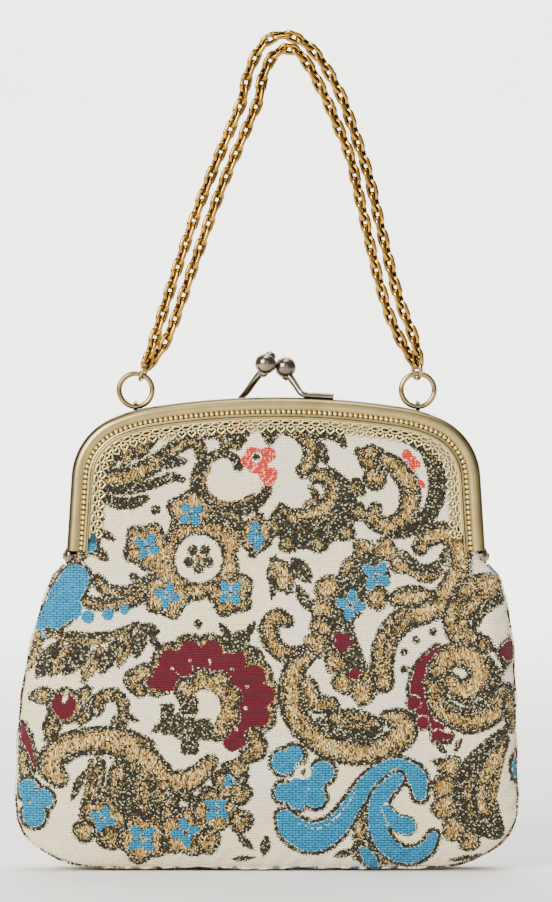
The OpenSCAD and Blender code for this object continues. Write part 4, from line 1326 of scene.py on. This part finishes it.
CORD_R = 0.55
CORD_END = 0.6
for half, body in HALVES:
    low, high = node_box(half + "_edge_cord")
    line = rail(ROLL_R, 1.5, low[2] + CORD_END)[0]
    path = np.stack([line[:, 0], np.full(len(line), (low[1] + high[1]) / 2), line[:, 1]], 1)
    points, faces = tube(path, CORD_R)
    piece = mesh_piece(half + "_cord", points, faces, satin)
    add_vectors(piece, "weave", points[:, [0, 2, 1]])
    fit_out(piece, "cord", body, half + "_edge_cord")


# ---- hinges: turned knuckles with a strap up into each channel ----

def turned(x_radius, sides=28):
    """A solid of revolution about the hinge axis through (x, radius) pairs."""
    turns = np.arange(sides) * 2 * math.pi / sides
    points = [(x, r * math.sin(a), HINGE_Z + r * math.cos(a)) for x, r in x_radius for a in turns]
    count = len(x_radius)
    faces = grid_faces(count, sides, closed=True)
    faces += [tuple(range(sides)), tuple((count - 1) * sides + k for k in range(sides))[::-1]]
    if x_radius[0][0] > x_radius[-1][0]:
        faces = [face[::-1] for face in faces]
    return np.array(points), faces


def strap(x0, x1, side):
    """A flat bar from the hinge up inside the channel's roll."""
    outline = ((x0, 0.9), (x1, 0.9), (x1, 4.4), (x0, 4.4))
    points = [(x, side * y, z) for z in (HINGE_Z + 1, HINGE_Z + 9) for x, y in outline]
    flip = side * (x1 - x0) > 0
    caps = [(0, 1, 2, 3), (7, 6, 5, 4)]
    if flip:
        caps = [cap[::-1] for cap in caps]
    return np.array(points), grid_faces(2, 4, closed=True, flip=flip) + caps


dome_profile = [(81.2, 3.4), (81.5, 3.9), (82.6, 4.1), (83.4, 3.8), (84.1, 3.0), (84.6, 1.8), (84.8, 0.5)]
flat_profile = [(79.9, 2.7), (80.1, 3.0), (80.8, 3.0), (81.0, 2.7)]
pin_profile = [(77.6, 0.9), (77.9, 1.7), (78.5, 1.9), (84.9, 1.5), (85.3, 0.8)]
for hand, sign in (("left", -1), ("right", 1)):
    nickel_piece("front_%s_knuckle" % hand, "front_%s_ear" % hand, "front_half",
                 [turned([(sign * x, r) for x, r in dome_profile]), strap(sign * 81.2, sign * 82.4, FRONT)],
                 "frame_metal")
    nickel_piece("%s_pin" % hand, "%s_hinge_rivet" % hand, "bag",
                 [turned([(sign * x, r) for x, r in pin_profile])], "frame_metal")
    nickel_piece("back_%s_knuckle" % hand, "back_%s_ear" % hand, "bag",
                 [turned([(sign * x, r) for x, r in flat_profile]), strap(sign * 79.9, sign * 81.0, BACK)],
                 "frame_metal")


# ---- frame rings, jump rings and their lugs ----

def round_ring(node, body, plumper):
    """A smooth ring where a CAD ring lies, a little stouter on its outer side."""
    points = islands(node)[0]
    centre = (points.min(0) + points.max(0)) / 2
    spread = points - centre
    axes = np.linalg.eigh(spread.T @ spread)[1]
    wire = np.ptp(spread @ axes[:, 0]) / 2
    radius = np.ptp(spread @ axes[:, 2]) / 2 - wire + plumper
    turn = np.arange(72)[:, None] * 2 * math.pi / 72
    path = centre + radius * (np.cos(turn) * axes[:, 1] + np.sin(turn) * axes[:, 2])
    points, faces = tube(path, wire + plumper, 16, closed=True)
    piece = mesh_piece(node + "_wire", points, faces, ring_gold)
    fit_out(piece, "ring_metal", body, node)


for hand in ("left", "right"):
    lug = nodes[hand + "_ring_lug"].data
    lug.materials.clear()
    lug.materials.append(nickel)
    lug.shade_smooth()
    round_ring(hand + "_ring", hand + "_ring", 0.22)
    round_ring(hand + "_jump_ring", "chain_runs", 0.28)


# ---- stage, lights and camera ----

def stage_sheet():
    """A pale floor that sweeps up behind the bag."""
    floor_z = cad_bounds[0][2] - 0.002
    near, far, high = -5.0, 3.4, 5.0
    half_width = 6.0
    sweep = 0.8
    profile = [(near, floor_z), (far, floor_z)]
    for a in np.radians(np.linspace(10, 90, 9)):
        profile.append((far + sweep * math.sin(a), floor_z + sweep - sweep * math.cos(a)))
    profile.append((far + sweep, high))
    points = [(x, y, z) for y, z in profile for x in (-half_width, half_width)]
    f = Finish("pale_floor", Roughness=0.9)
    f.colour(f.mix(f.noise(f.node("TexCoord").outputs["Object"], 40, 3), "#f4f3f0", "#efeeea"))
    floor = mesh_piece("floor", np.array(points) / MM, grid_faces(len(profile), 2), f.material)


def soft_light(name, place, target, size, power, tint="#ffffff"):
    """A rectangular area light aimed at a target."""
    data = bpy.data.lights.new(name, "AREA")
    data.shape = "RECTANGLE"
    data.size, data.size_y = size
    data.energy = power
    data.color = rgb(tint)[:3]
    lamp = bpy.data.objects.new(name, data)
    bpy.context.scene.collection.objects.link(lamp)
    lamp.location = place
    lamp.rotation_euler = (Vector(target) - Vector(place)).to_track_quat("-Z", "Y").to_euler()


CAMERA_FAR = 1.7
VIEW_HIGH = 0.3608
VIEW_Z = -0.160
camera_data = bpy.data.cameras.new("camera")
camera_data.sensor_fit = "VERTICAL"
camera_data.angle = 2 * math.atan(VIEW_HIGH / 2 / CAMERA_FAR)
camera = bpy.data.objects.new("camera", camera_data)
bpy.context.scene.collection.objects.link(camera)
camera.location = (0, -CAMERA_FAR, VIEW_Z)
camera.rotation_euler = (math.radians(90), 0, 0)
bpy.context.scene.camera = camera

stage_sheet()
MIDDLE = (0, 0, -0.18)
soft_light("key", (-0.9, -1.3, 0.55), MIDDLE, (0.9, 0.9), 52, "#fffaf2")
soft_light("fill", (0.5, -1.6, 0.1), MIDDLE, (0.8, 1.2), 4, "#f4f7ff")
soft_light("top", (0.1, -0.1, 1.1), MIDDLE, (0.9, 0.6), 14)
soft_light("backdrop_wash", (0, 2.0, 2.6), (0, 4.0, 0.3), (4.0, 1.0), 480)
world = bpy.data.worlds.new("studio")
bpy.context.scene.world = world
world.use_nodes = True
world.node_tree.nodes["Background"].inputs[0].default_value = rgb("#f5f5f7")
world.node_tree.nodes["Background"].inputs[1].default_value = 0.25
